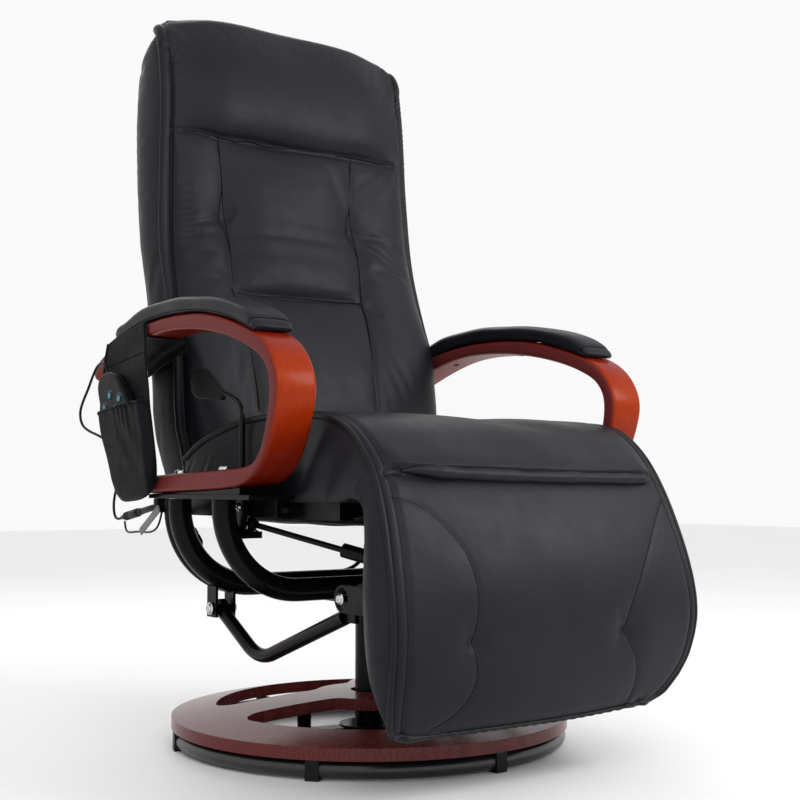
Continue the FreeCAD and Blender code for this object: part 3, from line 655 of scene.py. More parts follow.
# the sides keep clear of the arms and of the release rod over the whole travel
lim = 0.2425 + 0.009 * ramp(-0.165, -0.235, flat[:, 1]) + 0.020 * ramp(-0.285, -0.330, flat[:, 1])
near = flat[:, 1] > -0.33
over_x = np.abs(flat[:, 0]) - (lim - 0.003)
flat[:, 0] = np.where(near & (over_x > 0), np.sign(flat[:, 0]) * (lim - 0.003 + 0.003 * np.tanh(over_x / 0.003)), flat[:, 0])
cover = new_object("seat_foot_cover", flat, F, LEATHER)
refine(cover)
V, Nn = arrays(cover.data)
V = V.copy()
coarse = nu * nv


def column(o_or_V, c):
    return (o_or_V[:coarse].reshape(nu, nv, 3))[:, c]


# place along the edge line of every vertex, for the lip
t_of = np.zeros(len(V)); best = np.full(len(V), 9e9)
yz = V[:, 1:] / MM
fine_t = np.linspace(0, key[-1], 700); fine_o = cubic(key, O_, fine_t)
for k in range(0, len(V), 6000):
    d2 = ((yz[k:k + 6000, None, :] - fine_o[None]) ** 2).sum(2)
    t_of[k:k + 6000] = fine_t[d2.argmin(1)]; best[k:k + 6000] = np.sqrt(d2.min(1))
wave_x = V[:, 0] / 0.25
lip_line = lip_t + 2.5 * np.sin(wave_x * 3.1 + 0.6) - 7.0 * ramp(0.0, 1.0, -wave_x) * ramp(0.55, 0.95, -wave_x)
s = t_of - lip_line
on_front = best < 26
taper = (1 - ramp(0.80, 0.915, np.abs(wave_x))) * on_front
up = np.where(s <= 0, 5.5 * np.exp(-(s / 27.0) ** 2), 5.5 * np.exp(-(s / 5.0) ** 2))
down = np.where(s > 0, -5.0 * np.exp(-((s - 9) / 11.0) ** 2), 0.0)
V += Nn * ((up + down) * taper * MM)[:, None]
set_points(cover.data, V)
# sewn lines on the footrest
tr = tree_of(cover)
c5 = lambda pts: crop(340, 400, 4.126, pts)
lines = [c5([(205, 398), (260, 405), (330, 432), (400, 482), (470, 560), (520, 625), (550, 690), (570, 760), (577, 840), (573, 920), (562, 1005)]),
         c5([(562, 1005), (572, 1075), (571, 1140), (553, 1205), (510, 1270), (440, 1330), (365, 1368)]),
         c5([(1332, 400), (1310, 480), (1285, 580), (1255, 700), (1225, 800), (1200, 885), (1189, 955)]),
         c5([(1189, 955), (1208, 1010), (1226, 1065), (1228, 1130), (1214, 1200), (1190, 1252)])]
foot_seams = [eased(cast_line(tr, l)) for l in lines]
seam_up = [np.array([tuple(tr.find_nearest(Vector(p))[1]) for p in l]) for l in foot_seams]
pleat_line = cast_line(tr, c5([(252, 292), (300, 290), (380, 296), (480, 305), (600, 311), (750, 318), (900, 322), (1050, 324), (1180, 327), (1262, 327)]))
pleat_tail = cast_line(tr, c5([(166, 307), (200, 298), (235, 291), (256, 289)]))
folds = [c5(l) for l in ([(562, 1005), (540, 960), (528, 915)], [(562, 1010), (532, 1030), (505, 1062)], [(566, 1008), (600, 990), (630, 985)],
                         [(1189, 955), (1165, 900), (1152, 850)], [(1189, 960), (1160, 985), (1135, 1020)], [(1192, 955), (1225, 935), (1258, 930)])]
foot_folds = [cast_line(tr, l, 1.5) for l in folds]
tufts = cast_line(tr, c5([(562, 1006), (562.5, 1006.5)])), cast_line(tr, c5([(1189, 956), (1189.5, 956.5)]))
Nn = arrays(cover.data)[1].copy()
V = arrays(cover.data)[0].copy()
for k, l in enumerate(foot_seams):
    V = mark(V, Nn, l, 0.0010, 0.0036, 0.06)
    V = mark(V, Nn, l, 0.0010, 0.018, 0.15)
for l in foot_folds:
    V = mark(V, Nn, l, 0.0011, 0.0065, 0.5)
for l in tufts:
    D = np.linalg.norm(V - l[0], axis=1)
    V -= Nn * (0.0052 * np.exp(-(D / 0.009) ** 2) + 0.0040 * np.exp(-(D / 0.026) ** 2))[:, None]
V = mark(V, Nn, pleat_tail, 0.0030, 0.0045, 0.2)
for c in ("seam_l", "seam_r"):
    V = mark(V, Nn, column(V, col[c]), 0.0030, 0.0042)
for c in ("pipe_l", "pipe_r"):
    V = mark(V, Nn, column(V, col[c]), 0.0015, 0.0060)
# slack in the wide panels
xw, yw, zw = V[:, 0], V[:, 1], V[:, 2]
soft = (0.0012 * np.sin(xw * 21 + 1.3) * np.sin((yw - zw) * 15 + 0.4) + 0.0009 * np.sin(xw * 37 + zw * 24) * np.cos(yw * 31 + 0.9))
top_zone = np.exp(-((xw - 0.055) / 0.055) ** 2) * ramp(-0.12, -0.2, yw) * ramp(0.40, 0.45, zw) * (1 - ramp(-0.27, -0.32, yw))
V += Nn * (soft * (best < 30) * (0.35 + 0.65 * ramp(0.40, 0.45, zw)) - 0.005 * top_zone)[:, None]
hem = (1 - ramp(0.088, 0.100, zw)) * ramp(0.085, 0.150, xw)
V[:, 2] += hem * 0.0009 * np.sin(xw / 0.0042 + 0.7 * np.sin(xw / 0.011)) + (1 - ramp(0.09, 0.20, zw)) * 0.0060 * ramp(0.0, 0.22, xw)
V[:, 1] += hem * 0.0012 * np.cos(xw / 0.0050)
# the lower edge is eased inward where it travels back between the rails
ease = (1 - ramp(0.3570, 0.3650, V[:, 2])) * ramp(-0.120, -0.140, V[:, 1]) * ramp(-0.262, -0.245, V[:, 1])
lim = 0.2700 - 0.0380 * ease
V[:, 0] = np.where(ease > 0, np.clip(V[:, 0], -lim, lim), V[:, 0])
set_points(cover.data, V)
V, Nn = arrays(cover.data)
tr = tree_of(cover)


def offset_line(c, lift, lo=0, hi=None):
    P = column(V, c)[lo:hi]; Q = column(Nn, c)[lo:hi]
    return through(P + Q * lift, max(40, int(chord(P)[-1] / 0.004)))


# the piping turns the lower corner and runs out along the hem
def welt_line(c, step):
    P = (column(V, c) + column(Nn, c) * 0.0008)[:-3]
    last = V[:coarse].reshape(nu, nv, 3)[nu - 2]
    tail = np.array([last[(c + step * k) % nv] for k in range(4, NB + 11, 2)]) + np.array([0, 0.001, -0.002])
    return through(np.vstack([P, tail]), 340)


pipes = sweep("seat_foot_piping", [welt_line(col["pipe_l"], -1), welt_line(col["pipe_r"], 1)], 0.0042 * (1 - 0.5 * ramp(0.955, 1.0, np.linspace(0, 1, 340))), WELT, 12)
# the sewn lines of the footrest lie on the finished surface, down into the tufts
foot_threads = []
for l, up in zip(foot_seams, seam_up):
    P = []
    for p, n_ in zip(np.asarray(l, float), up):
        hit = tr.ray_cast(Vector(p + n_ * 0.006), Vector(-n_), 0.03)[0]
        P.append(p - n_ * 0.0017 if hit is None else np.array(hit))
    foot_threads.append(through(np.array(P), max(60, int(chord(np.array(P))[-1] / 0.003))))
threads = [offset_line(col["seam_l"], 0.0001), offset_line(col["seam_r"], 0.0001)] + foot_threads
seam_mesh = sweep("seat_foot_seams", threads, 0.00044, THREAD, 6)
hem_line = (V[:coarse].reshape(nu, nv, 3))[nu - 2, 4:NT - 4]
hem_roll = sweep("foot_hem", [through(hem_line + np.array([0, 0.001, -0.002]), 160)], 0.0030 + 0.0004 * np.sin(np.arange(160) * 0.9), WELT, 10)
# rolled pleat across the bend of the cover
pp_ = through(seated(tr, dense(pleat_line, 0.004)), 220)
pn_ = np.array([np.array(tr.find_nearest(Vector(p))[1]) for p in pp_])
for _ in range(12):
    pn_[1:-1] = (pn_[:-2] + pn_[1:-1] + pn_[2:]) / 3
f_ = np.linspace(0, 1, 220)
pr_ = 0.0092 * np.clip(f_ / 0.13, 0.10, 1) ** 0.55 * np.sqrt(np.clip(1 - (np.clip(f_ - 0.972, 0, 1) / 0.0282) ** 2, 0.01, 1)) * (1 + 0.05 * np.sin(f_ * 23) + 0.04 * np.sin(f_ * 51))
pleat = sweep("foot_pleat", [pp_ + pn_ * (pr_ * 0.02)[:, None]], pr_, LEATHER, 20)
for o in (cover, pipes, seam_mesh, hem_roll, pleat):
    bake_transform(o)
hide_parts("seat_cushion", "foot_cushion")

# ------------------------------------------------------------------ backrest
front = [(98, 402), (100, 432), (104, 470), (120, 540), (140, 592), (154, 624), (182, 693), (205, 776), (216, 846), (225, 916), (230, 986), (238, 1048), (249, 1099), (263, 1126), (284, 1140)]
rear = [(230, 388), (240, 430), (246, 480), (249, 505), (254, 535), (261, 565), (267, 595), (272, 622), (280, 660), (293, 700), (308, 740), (321, 780), (332, 820), (343, 860), (350, 900),
        (354, 940), (353, 980), (348, 1020), (338, 1060), (324, 1088), (308, 1110), (297, 1125), (289, 1136), (286, 1140)]
nb_ = 128
tt = np.linspace(0, 1, nb_) ** 0.94
tt[-1] = 1.0


def at_fraction(P, f):
    d = chord(P)
    Q = cubic(d, np.asarray(P, float), np.linspace(0, d[-1], 800))
    e = chord(Q)
    return np.stack([np.interp(f * e[-1], e, Q[:, k]) for k in (0, 1)], 1)


Fr, Re = at_fraction(front, tt), at_fraction(rear, tt)
seam_in = np.interp(Fr[:, 1], [400, 460, 500, 540, 580, 620, 660, 700, 740, 780, 820, 860, 900, 940, 980, 1020, 1080, 1100, 1128, 1140],
                    [52, 50, 43, 36, 26, 21, 20, 18.5, 18.5, 16.5, 14.5, 12, 9, 6.5, 5, 4, 4, 5, 5, 3])
pipe_in = seam_in + 15.0
Wb = np.interp(Fr[:, 1], [400, 430, 460, 500, 540, 620, 660, 700, 740, 780, 820, 860, 900, 940, 980, 1020, 1060, 1095, 1112, 1122, 1130, 1136, 1140],
               [221, 225, 231, 235, 235, 235, 233.5, 231, 229, 227.5, 226, 224.5, 223, 222, 221, 220.5, 220.5, 221, 220.5, 219, 216, 212, 206])
roll = np.interp(Fr[:, 1], [640, 740], [10.0, 15.0])
puff = np.interp(Fr[:, 1], [640, 760, 1080, 1130], [7.5, 11.0, 10.0, 4.0])
MT, MC, MB, MS, MR = 73, 7, 8, 11, 4
am = np.linspace(-1, 1, MT)
rows = []
for i in range(nb_):
    f, r = Fr[i], Re[i]
    d = r - f
    T = np.linalg.norm(d)
    d = d / max(T, 1e-6)
    es, ep = min(seam_in[i], 0.35 * T), min(pipe_in[i], 0.6 * T)
    rc = min(max(9.0, es * 1.1 + 4), 60)
    W = Wb[i]
    half = []                                                   # corner, welt band, side, rear corner for +x
    for k in range(1, MC + 1):
        ph = k / MC * math.pi / 2
        half.append((W - rc + rc * math.sin(ph), es * (1 - math.cos(ph))))
    for k in range(1, MB + 1):
        half.append((W + 1.0 * k / MB + roll[i] * min(1.0, (ep - es) / 14) * math.sin(math.pi * k / MB), es + (ep - es) * (1 - math.cos(math.pi * k / MB)) / 2))
    rr = min(12.0, 0.3 * T)
    wr = W + 1.0 + puff[i] * min(1.0, T / 60)
    for k in range(1, MS + 1):
        q = k / MS
        half.append((W + 1.0 + (wr - W - 1.0) * math.sin(math.pi / 2 * min(1.0, 1.2 * q)), ep + (T - rr - ep) * q))
    for k in range(1, MR + 1):
        ph = k / MR * math.pi / 2
        half.append((wr - rr + rr * math.cos(ph), T - rr + rr * math.sin(ph)))
    pts = []
    crown = 5.0 * min(1.0, T / 60)
    for v in am:
        pts.append((v * (W - rc), -crown * (1 - abs(v) ** 2.4)))
    pts += half
    for v in am[::-1][1:-1]:
        pts.append((v * (wr - rr), T + 7.0 * min(1.0, T / 60) * (1 - abs(v) ** 2)))
    pts += [(-x, e) for x, e in half[::-1]]
    rows.append([(x, f[0] + d[0] * e, f[1] + d[1] * e) for x, e in pts])
BV = np.array(rows)
mu, mv = BV.shape[0], BV.shape[1]
# the top edge falls away towards the corners
BV[:, :, 2] -= (14.0 * np.abs(BV[:, :, 0] / 223) ** 3.2 - 3.0 * BV[:, :, 0] / 223) * ramp(1030, 1140, BV[:, :, 2]) - 4.0 * ramp(1085, 1140, BV[:, :, 2]) * (1 - (BV[:, :, 0] / 223) ** 2)
BV *= MM
bc = {"seam_l": MT - 1 + MC, "pipe_l": MT - 1 + MC + MB, "rear_l": MT - 1 + MC + MB + MS + MR}
bc["rear_r"] = bc["rear_l"] + MT - 1
bc["pipe_r"] = bc["rear_r"] + MR + MS
bc["seam_r"] = bc["pipe_r"] + MB
bflat = BV.reshape(-1, 3)
bot = [bc["rear_r"] - k for k in range(MT)]
BF = loop_faces(mu, mv, flip=False)
mids = []
for i, fl in ((0, True), (mu - 1, False)):
    loop = [i * mv + j for j in range(mv)]
    base = len(bflat) + len(mids) * MT
    mids.append((BV[i, :MT] + BV[i, bot]) / 2)
    BF += end_cap(loop, list(range(MT)), bot, base, not fl)
bflat = np.concatenate([bflat] + mids)
# sewn lines, read on the plain form
probe = new_object("probe", bflat, BF, None)
tr = tree_of(probe)
c0 = lambda pts: crop(80, 0, 3.92, pts)
head = cast_line(tr, c0([(368, 507), (430, 509), (500, 522), (545, 538), (640, 553), (770, 578), (900, 598), (1000, 612), (1100, 626), (1170, 640), (1226, 652)]))
left = cast_line(tr, c0([(545, 538), (549, 600), (556, 680), (560, 760), (566, 845), (578, 900), (592, 980), (598, 1060), (601, 1133)]))
right = cast_line(tr, c0([(1064, 622), (1062, 690), (1060, 780), (1058, 870), (1062, 905), (1075, 945), (1092, 1010), (1100, 1080), (1106, 1187)]))
low = cast_line(tr, c0([(601, 1133), (660, 1150), (760, 1160), (850, 1168), (960, 1176), (1050, 1183), (1106, 1187)]))
left2 = cast_line(tr, c0([(601, 1133), (628, 1220), (655, 1310), (675, 1390), (692, 1480), (703, 1560), (708, 1610)]))
right2 = cast_line(tr, c0([(1106, 1187), (1125, 1240), (1140, 1320), (1150, 1400), (1158, 1480), (1165, 1560), (1168, 1610)]))
bpy.data.objects.remove(probe)
back_seams = [head, left, right, low, left2, right2]
g = np.zeros((mu, mv))
for c in ("seam_l", "seam_r", "pipe_l", "pipe_r", "rear_l", "rear_r"):
    g[:, bc[c]] = 1
for c, d in (("seam_l", "pipe_l"), ("pipe_r", "seam_r")):
    g[:, bc[c]:bc[d] + 1] = 1
g[:3, :] = 1
g[-5:, :] = 1
pin = np.ones(len(bflat))
pin[:mu * mv] = g.ravel()
for l in back_seams:
    D, _ = reach(bflat, dense(l, 0.003), 0.02)
    pin = np.maximum(pin, (D < 0.0065) * 1.0)
bflat = inflate("backrest_sim", bflat, BF, pin, 0.010)
# the lower sides keep clear of the arms and the strap
lim = 0.2475 + 0.030 * ramp(0.650, 0.720, bflat[:, 2])
over_x = np.abs(bflat[:, 0]) - (lim - 0.003)
bflat[:, 0] = np.where(over_x > 0, np.sign(bflat[:, 0]) * (lim - 0.003 + 0.003 * np.tanh(over_x / 0.003)), bflat[:, 0])
back = new_object("backrest_cover", bflat, BF, LEATHER)
refine(back)
V, Nn = (x.copy() for x in arrays(back.data))
bcoarse = mu * mv


def bcol(A, c):
    return A[:bcoarse].reshape(mu, mv, 3)[:, c]


xw, zw = V[:, 0].copy(), V[:, 2].copy()
frontish = ramp(0.15, 0.6, -Nn[:, 1])
hs = head[np.argsort(head[:, 0])]
zh = np.interp(xw, hs[:, 0], hs[:, 2])
sh = zw - zh
over = np.where(sh > 0, 0.022 * (1 - np.exp(-sh / 0.034)) * np.exp(-sh / 0.16), 0) * (1 - ramp(0.125, 0.216, np.abs(xw)))
ls = low[np.argsort(low[:, 0])]
zl = np.interp(xw, ls[:, 0], ls[:, 2])
sl = zw - zl
xl = np.interp(zw, left[::-1, 2], left[::-1, 0]); xr = np.interp(zw, right[::-1, 2], right[::-1, 0])
inside = ramp(-0.006, 0.075, xw - xl) * ramp(-0.006, 0.075, xr - xw)
panel = inside * ramp(-0.005, 0.06, sl) * ramp(-0.005, 0.08, -sh) * 0.005
belly = ramp(-0.004, 0.035, xw - xl) * ramp(-0.004, 0.035, xr - xw) * np.where((sl > 0) & (sh < 0), 0.007 * (1 - np.exp(-sl / 0.020)) * np.exp(-sl / 0.08), 0)
V += Nn * ((over + panel + belly) * frontish)[:, None]
set_points(back.data, V)
V, Nn = (x.copy() for x in arrays(back.data))
tr = tree_of(back)
back_threads = []
for l, dp in ((head, 0.0052), (low, 0.0044), (left, 0.0028), (right, 0.0024), (left2, 0.0026), (right2, 0.0030)):
    L = eased(seated(tr, eased(l)))
    back_threads.append(sunk(tr, L, dp * 1.08))
    V = mark(V, Nn, L, dp * 0.6, 0.0042)
    V = mark(V, Nn, L, dp * 0.6, 0.016, 0.05)
for c in ("seam_l", "seam_r"):
    V = mark(V, Nn, bcol(V, bc[c])[:mu - 16], 0.0034, 0.0045, 0.02)
for c in ("pipe_l", "pipe_r"):
    V = mark(V, Nn, bcol(V, bc[c])[:mu - 16], 0.0022, 0.0050, 0.02)
set_points(back.data, V)
tr = tree_of(back)
V, Nn = (x.copy() for x in arrays(back.data))
creases = [([(366, 886), (430, 873), (500, 863), (562, 853)], 0.0032, 0.0060), ([(372, 832), (420, 828), (466, 818)], 0.0024, 0.0065),
           ([(370, 928), (430, 915), (486, 902)], 0.0026, 0.0070), ([(372, 968), (420, 955), (468, 938)], 0.0020, 0.0075),
           ([(380, 706), (412, 702), (440, 690)], 0.0016, 0.008), ([(372, 775), (415, 770), (450, 758)], 0.0018, 0.008),
           ([(566, 850), (590, 835), (612, 812)], 0.0022, 0.006), ([(566, 848), (590, 780), (618, 720)], 0.0016, 0.010),
           ([(1078, 930), (1130, 932), (1190, 938), (1232, 944)], 0.0030, 0.0065), ([(1085, 955), (1150, 990), (1220, 1045), (1290, 1105)], 0.0040, 0.0085),
           ([(1130, 935), (1195, 962), (1262, 1004)], 0.0028, 0.0075), ([(1062, 900), (1040, 840), (1005, 745), (968, 645)], 0.0030, 0.0120),
           ([(1112, 1195), (1150, 1215), (1190, 1245)], 0.0020, 0.0070), ([(1165, 900), (1210, 912), (1250, 930)], 0.0018, 0.0070),
           ([(362, 150), (372, 140), (384, 130)], 0.0016, 0.0040), ([(364, 205), (376, 192), (390, 182)], 0.0016, 0.0040),
           ([(366, 250), (378, 236), (392, 228)], 0.0016, 0.0040), ([(368, 300), (380, 286), (394, 278)], 0.0014, 0.0040)]
for pts, dp, wd in creases:
    l = cast_line(tr, c0(pts), 1.2)
    if len(l) > 2:
        V = mark(V, Nn, l, dp * 0.8, wd, 0.35)
        off = np.cross(np.gradient(dense(l), axis=0).mean(0), np.array([0, -1.0, 0]))
        off = off / (np.linalg.norm(off) + 1e-9)
        V = mark(V, Nn, l + off * wd * 1.9, -dp * 0.28, wd * 1.3, 0.35)
for p in (left[np.argmin(np.abs(np.linspace(0, 1, len(left)) - 0.52))], right[np.argmin(np.abs(np.linspace(0, 1, len(right)) - 0.52))]):
    D = np.linalg.norm(V - p, axis=1)
    V -= Nn * (0.0025 * np.exp(-(D / 0.010) ** 2) + 0.004 * np.exp(-(D / 0.036) ** 2))[:, None]
xw, yw, zw = V[:, 0], V[:, 1], V[:, 2]
V += Nn * (0.0011 * np.sin(xw * 19 + 0.8) * np.sin(zw * 14 + 1.1) + 0.0008 * np.sin(xw * 33 + zw * 21))[:, None]
# puckers where the side band is gathered to the welt
for c in ("pipe_l", "pipe_r"):
    L = bcol(V, bc[c])
    D, S = reach(V, dense(L), 0.05)
    V += Nn * ((0.0011 if c == "pipe_l" else 0.0006) * np.exp(-(D / 0.016) ** 2) * ramp(0.60, 0.75, S) * np.sin(S * 640 + 2.2 * np.sin(S * 90)))[:, None]
set_points(back.data, V)
V, Nn = arrays(back.data)
tr = tree_of(back)


def back_line(c, lift, lo=0, hi=None):
    P = bcol(V, c)[lo:hi]; Q = bcol(Nn, c)[lo:hi]
    return through(P + Q * lift, max(40, int(chord(P)[-1] / 0.004)))


pipe_path = []
for c, j in (("pipe_l", 1), ("pipe_r", 1)):
    pipe_path.append(back_line(bc[c], 0.0006, 0, mu - 15))
bpipe = sweep("backrest_piping", pipe_path, 0.0019, WELT, 10)
# the welt roll turns over the top corners to the rear
arch = np.array([(227, 250, 1040), (227, 253.5, 1060), (227, 257, 1078), (226.5, 262.5, 1093), (225.5, 270.5, 1104), (223.5, 280, 1109), (217.5, 288, 1109), (208, 293, 1103), (197, 295, 1094)])
fa_ = np.linspace(0, 1, 70)
welt_top = sweep("backrest_welt_top", [through(arch * np.array([sg_, 1, 1]) * MM + np.array([0, 0, 0.0030 * sg_]), 70) for sg_ in (-1, 1)],
                 0.0094 * np.clip(np.minimum(fa_ / 0.34, (1 - fa_) / 0.10), 0.30, 1) ** 0.6, WELT, 16)
rear_edge = [back_line(bc["rear_l"] - 2, 0.0004, 2, mu - 3), back_line(bc["rear_r"] + 2, 0.0004, 2, mu - 3)]
bthread = sweep("backrest_seams", [back_line(bc["seam_l"], 0.0001, 0, mu - 14), back_line(bc["seam_r"], 0.0001, 0, mu - 14)] + rear_edge
                + back_threads, 0.00080, THREAD, 6)
for o in (back, bpipe, bthread, welt_top):
    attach(o, "backrest")
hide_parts("back_cushion", "back_rear_panel")

# ------------------------------------------------------------------ bentwood arms
outer = [(309, 557), (258, 579), (190, 597), (124, 607), (60, 610.5), (0, 609), (-60, 603), (-120, 590), (-172, 574),
         (-205, 561), (-230, 544), (-248, 521), (-256, 496), (-252, 468), (-240, 437), (-222, 407), (-200, 388),
         (-170, 375.5), (-130, 370), (-60, 367), (30, 364.5), (118, 362.2)]
inner = [(297, 536), (250, 553), (190, 572), (117, 587.5), (60, 590.5), (0, 587.5), (-70, 578), (-131, 564), (-190, 543), (-216, 527),
         (-230, 507), (-232.5, 484), (-225, 450), (-214, 422), (-198, 405), (-172, 397.5), (-130, 395), (-60, 392), (30, 389.5), (118, 387)]
match = [((309, 557), (297, 536)), ((190, 597), (190, 572)), ((60, 610.5), (60, 590.5)), ((-60, 603), (-70, 578)), ((-172, 574), (-190, 543)),
         ((-230, 544), (-216, 527)), ((-256, 496), (-232.5, 484)), ((-240, 437), (-225, 450)), ((-200, 388), (-198, 405)), ((-130, 370), (-130, 395)), ((118, 362.2), (118, 387))]
do, di = chord(outer), chord(inner)
fo = [do[outer.index(m[0])] for m in match]; fi = [di[inner.index(m[1])] for m in match]
nst = 190
so = np.linspace(0, do[-1], nst)
si = np.interp(so, fo, fi)
OU, IN = cubic(do, outer, so), cubic(di, inner, si)


def wood_arm(name, x0, x1):
    r = 6.5
    rows = []
    # rounded section: (place across x, place through the thickness), going round
    for i in range(nst):
        th = np.linalg.norm(OU[i] - IN[i])
        rr = min(r, th * 0.42)
        w = x1 - x0
        pts = []
        for cx, cz, a0 in ((w - rr, th - rr, 0), (rr, th - rr, 90), (rr, rr, 180), (w - rr, rr, 270)):
            for k in range(6):
                ph = math.radians(a0 + 18 * k)
                pts.append((cx + rr * math.cos(ph), cz + rr * math.sin(ph)))
        d = (OU[i] - IN[i]) / th
        rows.append([(x0 + x, IN[i][0] + d[0] * e, IN[i][1] + d[1] * e) for x, e in pts])
    A = np.array(rows) * MM
    m = A.shape[1]
    # rounded ends
    caps = []
    for sgn, i in ((-1, 0), (1, nst - 1)):
        c = A[i].mean(0)
        tan = (A[i] - A[i - sgn]).mean(0); tan /= np.linalg.norm(tan)
        caps.append([c + (A[i] - c) * f + tan * p for f, p in ((0.965, 0.0016), (0.90, 0.0026))])
    rows = [caps[0][1], caps[0][0]] + list(A) + [caps[1][0], caps[1][1]]
    A = np.array(rows)
    nr = len(A)
    Fc = loop_faces(nr, m)
    Fc += [tuple(range(m))[::-1], tuple((nr - 1) * m + j for j in range(m))]
    o = new_object(name, A.reshape(-1, 3), Fc, [WOOD_FACE, WOOD_SIDE])
    run = np.r_[0, np.cumsum(np.linalg.norm(np.diff(A.mean(1), axis=0), axis=1))]
    around = np.r_[0, np.cumsum(np.linalg.norm(np.diff(A[20], axis=0), axis=1))]
    uv = o.data.uv_layers.new(name="grain")
    me = o.data
    for p in me.polygons:
        js = [me.loops[k].vertex_index % m for k in p.loop_indices]
        wrap = max(js) - min(js) > m / 2
        for k in p.loop_indices:
            vi = me.loops[k].vertex_index
            j = vi % m
            va = around[j] + (around[-1] + 0.02 if wrap and j < m / 2 else 0)
            uv.data[k].uv = (run[vi // m], va)
        cx = abs(p.normal[0])
        p.material_index = 1 if cx > 0.86 else 0
    return o


for tag, x0, x1 in (("right", -313, -255), ("left", 255, 313)):
    o = wood_arm("arm_wood_" + tag, x0, x1)
    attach(o, "swivel"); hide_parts("arm_" + tag)
    # recessed screw caps under the top rail
    c = lathe("arm_screws_" + tag, [((sg, y * MM, z * MM), (0, ny, nz), [(-0.004, 0.0046), (0.0002, 0.0046), (0.0008, 0.0040), (0.0008, 0.0022), (-0.0006, 0.0018)])
                                    for sg in ((x0 + x1) / 2 * MM,) for y, z, ny, nz in ((150, 581.4, -0.16, -0.98), (-20, 585.2, 0.1, -0.99))], RODBLK, 20)
    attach(c, "swivel")

# ------------------------------------------------------------------ arm pads
pad_low = [(225, 593.5), (190, 598.2), (124, 607.6), (60, 611.1), (0, 609.6), (-60, 603.6), (-120, 590.6), (-172, 574.6), (-194, 567.0)]
pad_top = [(236, 601), (229, 609.5), (206, 617.5), (170, 627.5), (120, 634.5), (60, 636.5), (0, 633.5), (-60, 627), (-110, 618), (-140, 610), (-165, 601.5), (-182, 592.5), (-195, 581), (-200, 573)]


def arm_pad(name, xc):
    n = 96
    lo, hi = at_fraction(pad_low, np.linspace(0, 1, n)), at_fraction(pad_top, np.linspace(0, 1, n))
    rows = []
    for i in range(n):
        d = hi[i] - lo[i]
        T = np.linalg.norm(d); d = d / T
        f = i / (n - 1)
        w = 29.6 * (1 - 0.14 * max(0, (0.05 - f) / 0.05) ** 2 - 0.05 * max(0, (f - 0.965) / 0.035) ** 2)
        pts = []
        for k in range(40):
            ph = 2 * math.pi * k / 40
            cx, cz = math.cos(ph), math.sin(ph)
            px = w * np.sign(cx) * abs(cx) ** 0.40
            pz = (np.sign(cz) * abs(cz) ** (0.54 if cz > 0 else 0.30))
            e = T * (0.40 + (0.60 if cz > 0 else 0.40) * pz)
            pts.append((xc + px, lo[i][0] + d[0] * e, lo[i][1] + d[1] * e))
        rows.append(pts)
    A = np.array(rows) * MM
    c0, c1 = A[0].mean(0), A[-1].mean(0)
    front_in = c1 + (A[-1] - c1) * 0.72 + np.array([0, -0.0032, 0.0002])
    rear_in = c0 + (A[0] - c0) * 0.6 + np.array([0, 0.003, 0.0])
    A = np.concatenate([rear_in[None], A, front_in[None]])
    nr = len(A)
    Fc = loop_faces(nr, 40)
    Fc += [tuple(range(40))[::-1], tuple((nr - 1) * 40 + j for j in range(40))]
    P = A.reshape(-1, 3)
    pin = np.zeros(len(P)); z = np.tile(np.arange(40), nr)
    pin[(z >= 21) & (z <= 39)] = 1
    pin[z == 0] = 1; pin[z == 20] = 1
    pin[:40 * 3] = 1; pin[-40 * 6:-40 * 4] = 1; pin[-40:] = 1
    P = inflate(name + "_sim", P, Fc, pin, 0.0022, 3.0, 12)
    o = new_object(name, P, Fc, LEATHER)
    refine(o)
    V, Nn = (x.copy() for x in arrays(o.data))
    ring = P.reshape(nr, 40, 3)[nr - 5]
    V = mark(V, Nn, ring[:21], 0.0014, 0.0026)
    V += Nn * (0.0005 * np.sin(V[:, 1] * 60 + V[:, 0] * 40) * np.sin(V[:, 0] * 55))[:, None]
    set_points(o.data, V)
    tr = tree_of(o)
    base = [P.reshape(nr, 40, 3)[2:-2, 39], P.reshape(nr, 40, 3)[2:-2, 21]]
    th = sweep(name + "_seams", [seated(tr, dense(ring[:21], 0.003), 0.0001)] + [seated(tr, dense(b, 0.004), 0.0001) for b in base], 0.0007, THREAD, 6)
    return o, th


for tag, xc in (("right", -284.0), ("left", 284.0)):
    o, th = arm_pad("arm_cushion_" + tag, xc)
    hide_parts("arm_pad_" + tag)
    for q in (o, th):
        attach(q, "swivel")


# ------------------------------------------------------------------ pouch and inner flap
def coons(top, bottom, left, right, nu, nv):
    T, Bm, L, R = through(top, nv), through(bottom, nv), through(left, nu), through(right, nu)
    u, v = np.linspace(0, 1, nu)[:, None, None], np.linspace(0, 1, nv)[None, :, None]
    return ((1 - u) * T[None] + u * Bm[None] + (1 - v) * L[:, None] + v * R[:, None]
            - ((1 - u) * (1 - v) * T[0] + (1 - u) * v * T[-1] + u * (1 - v) * Bm[0] + u * v * Bm[-1]))


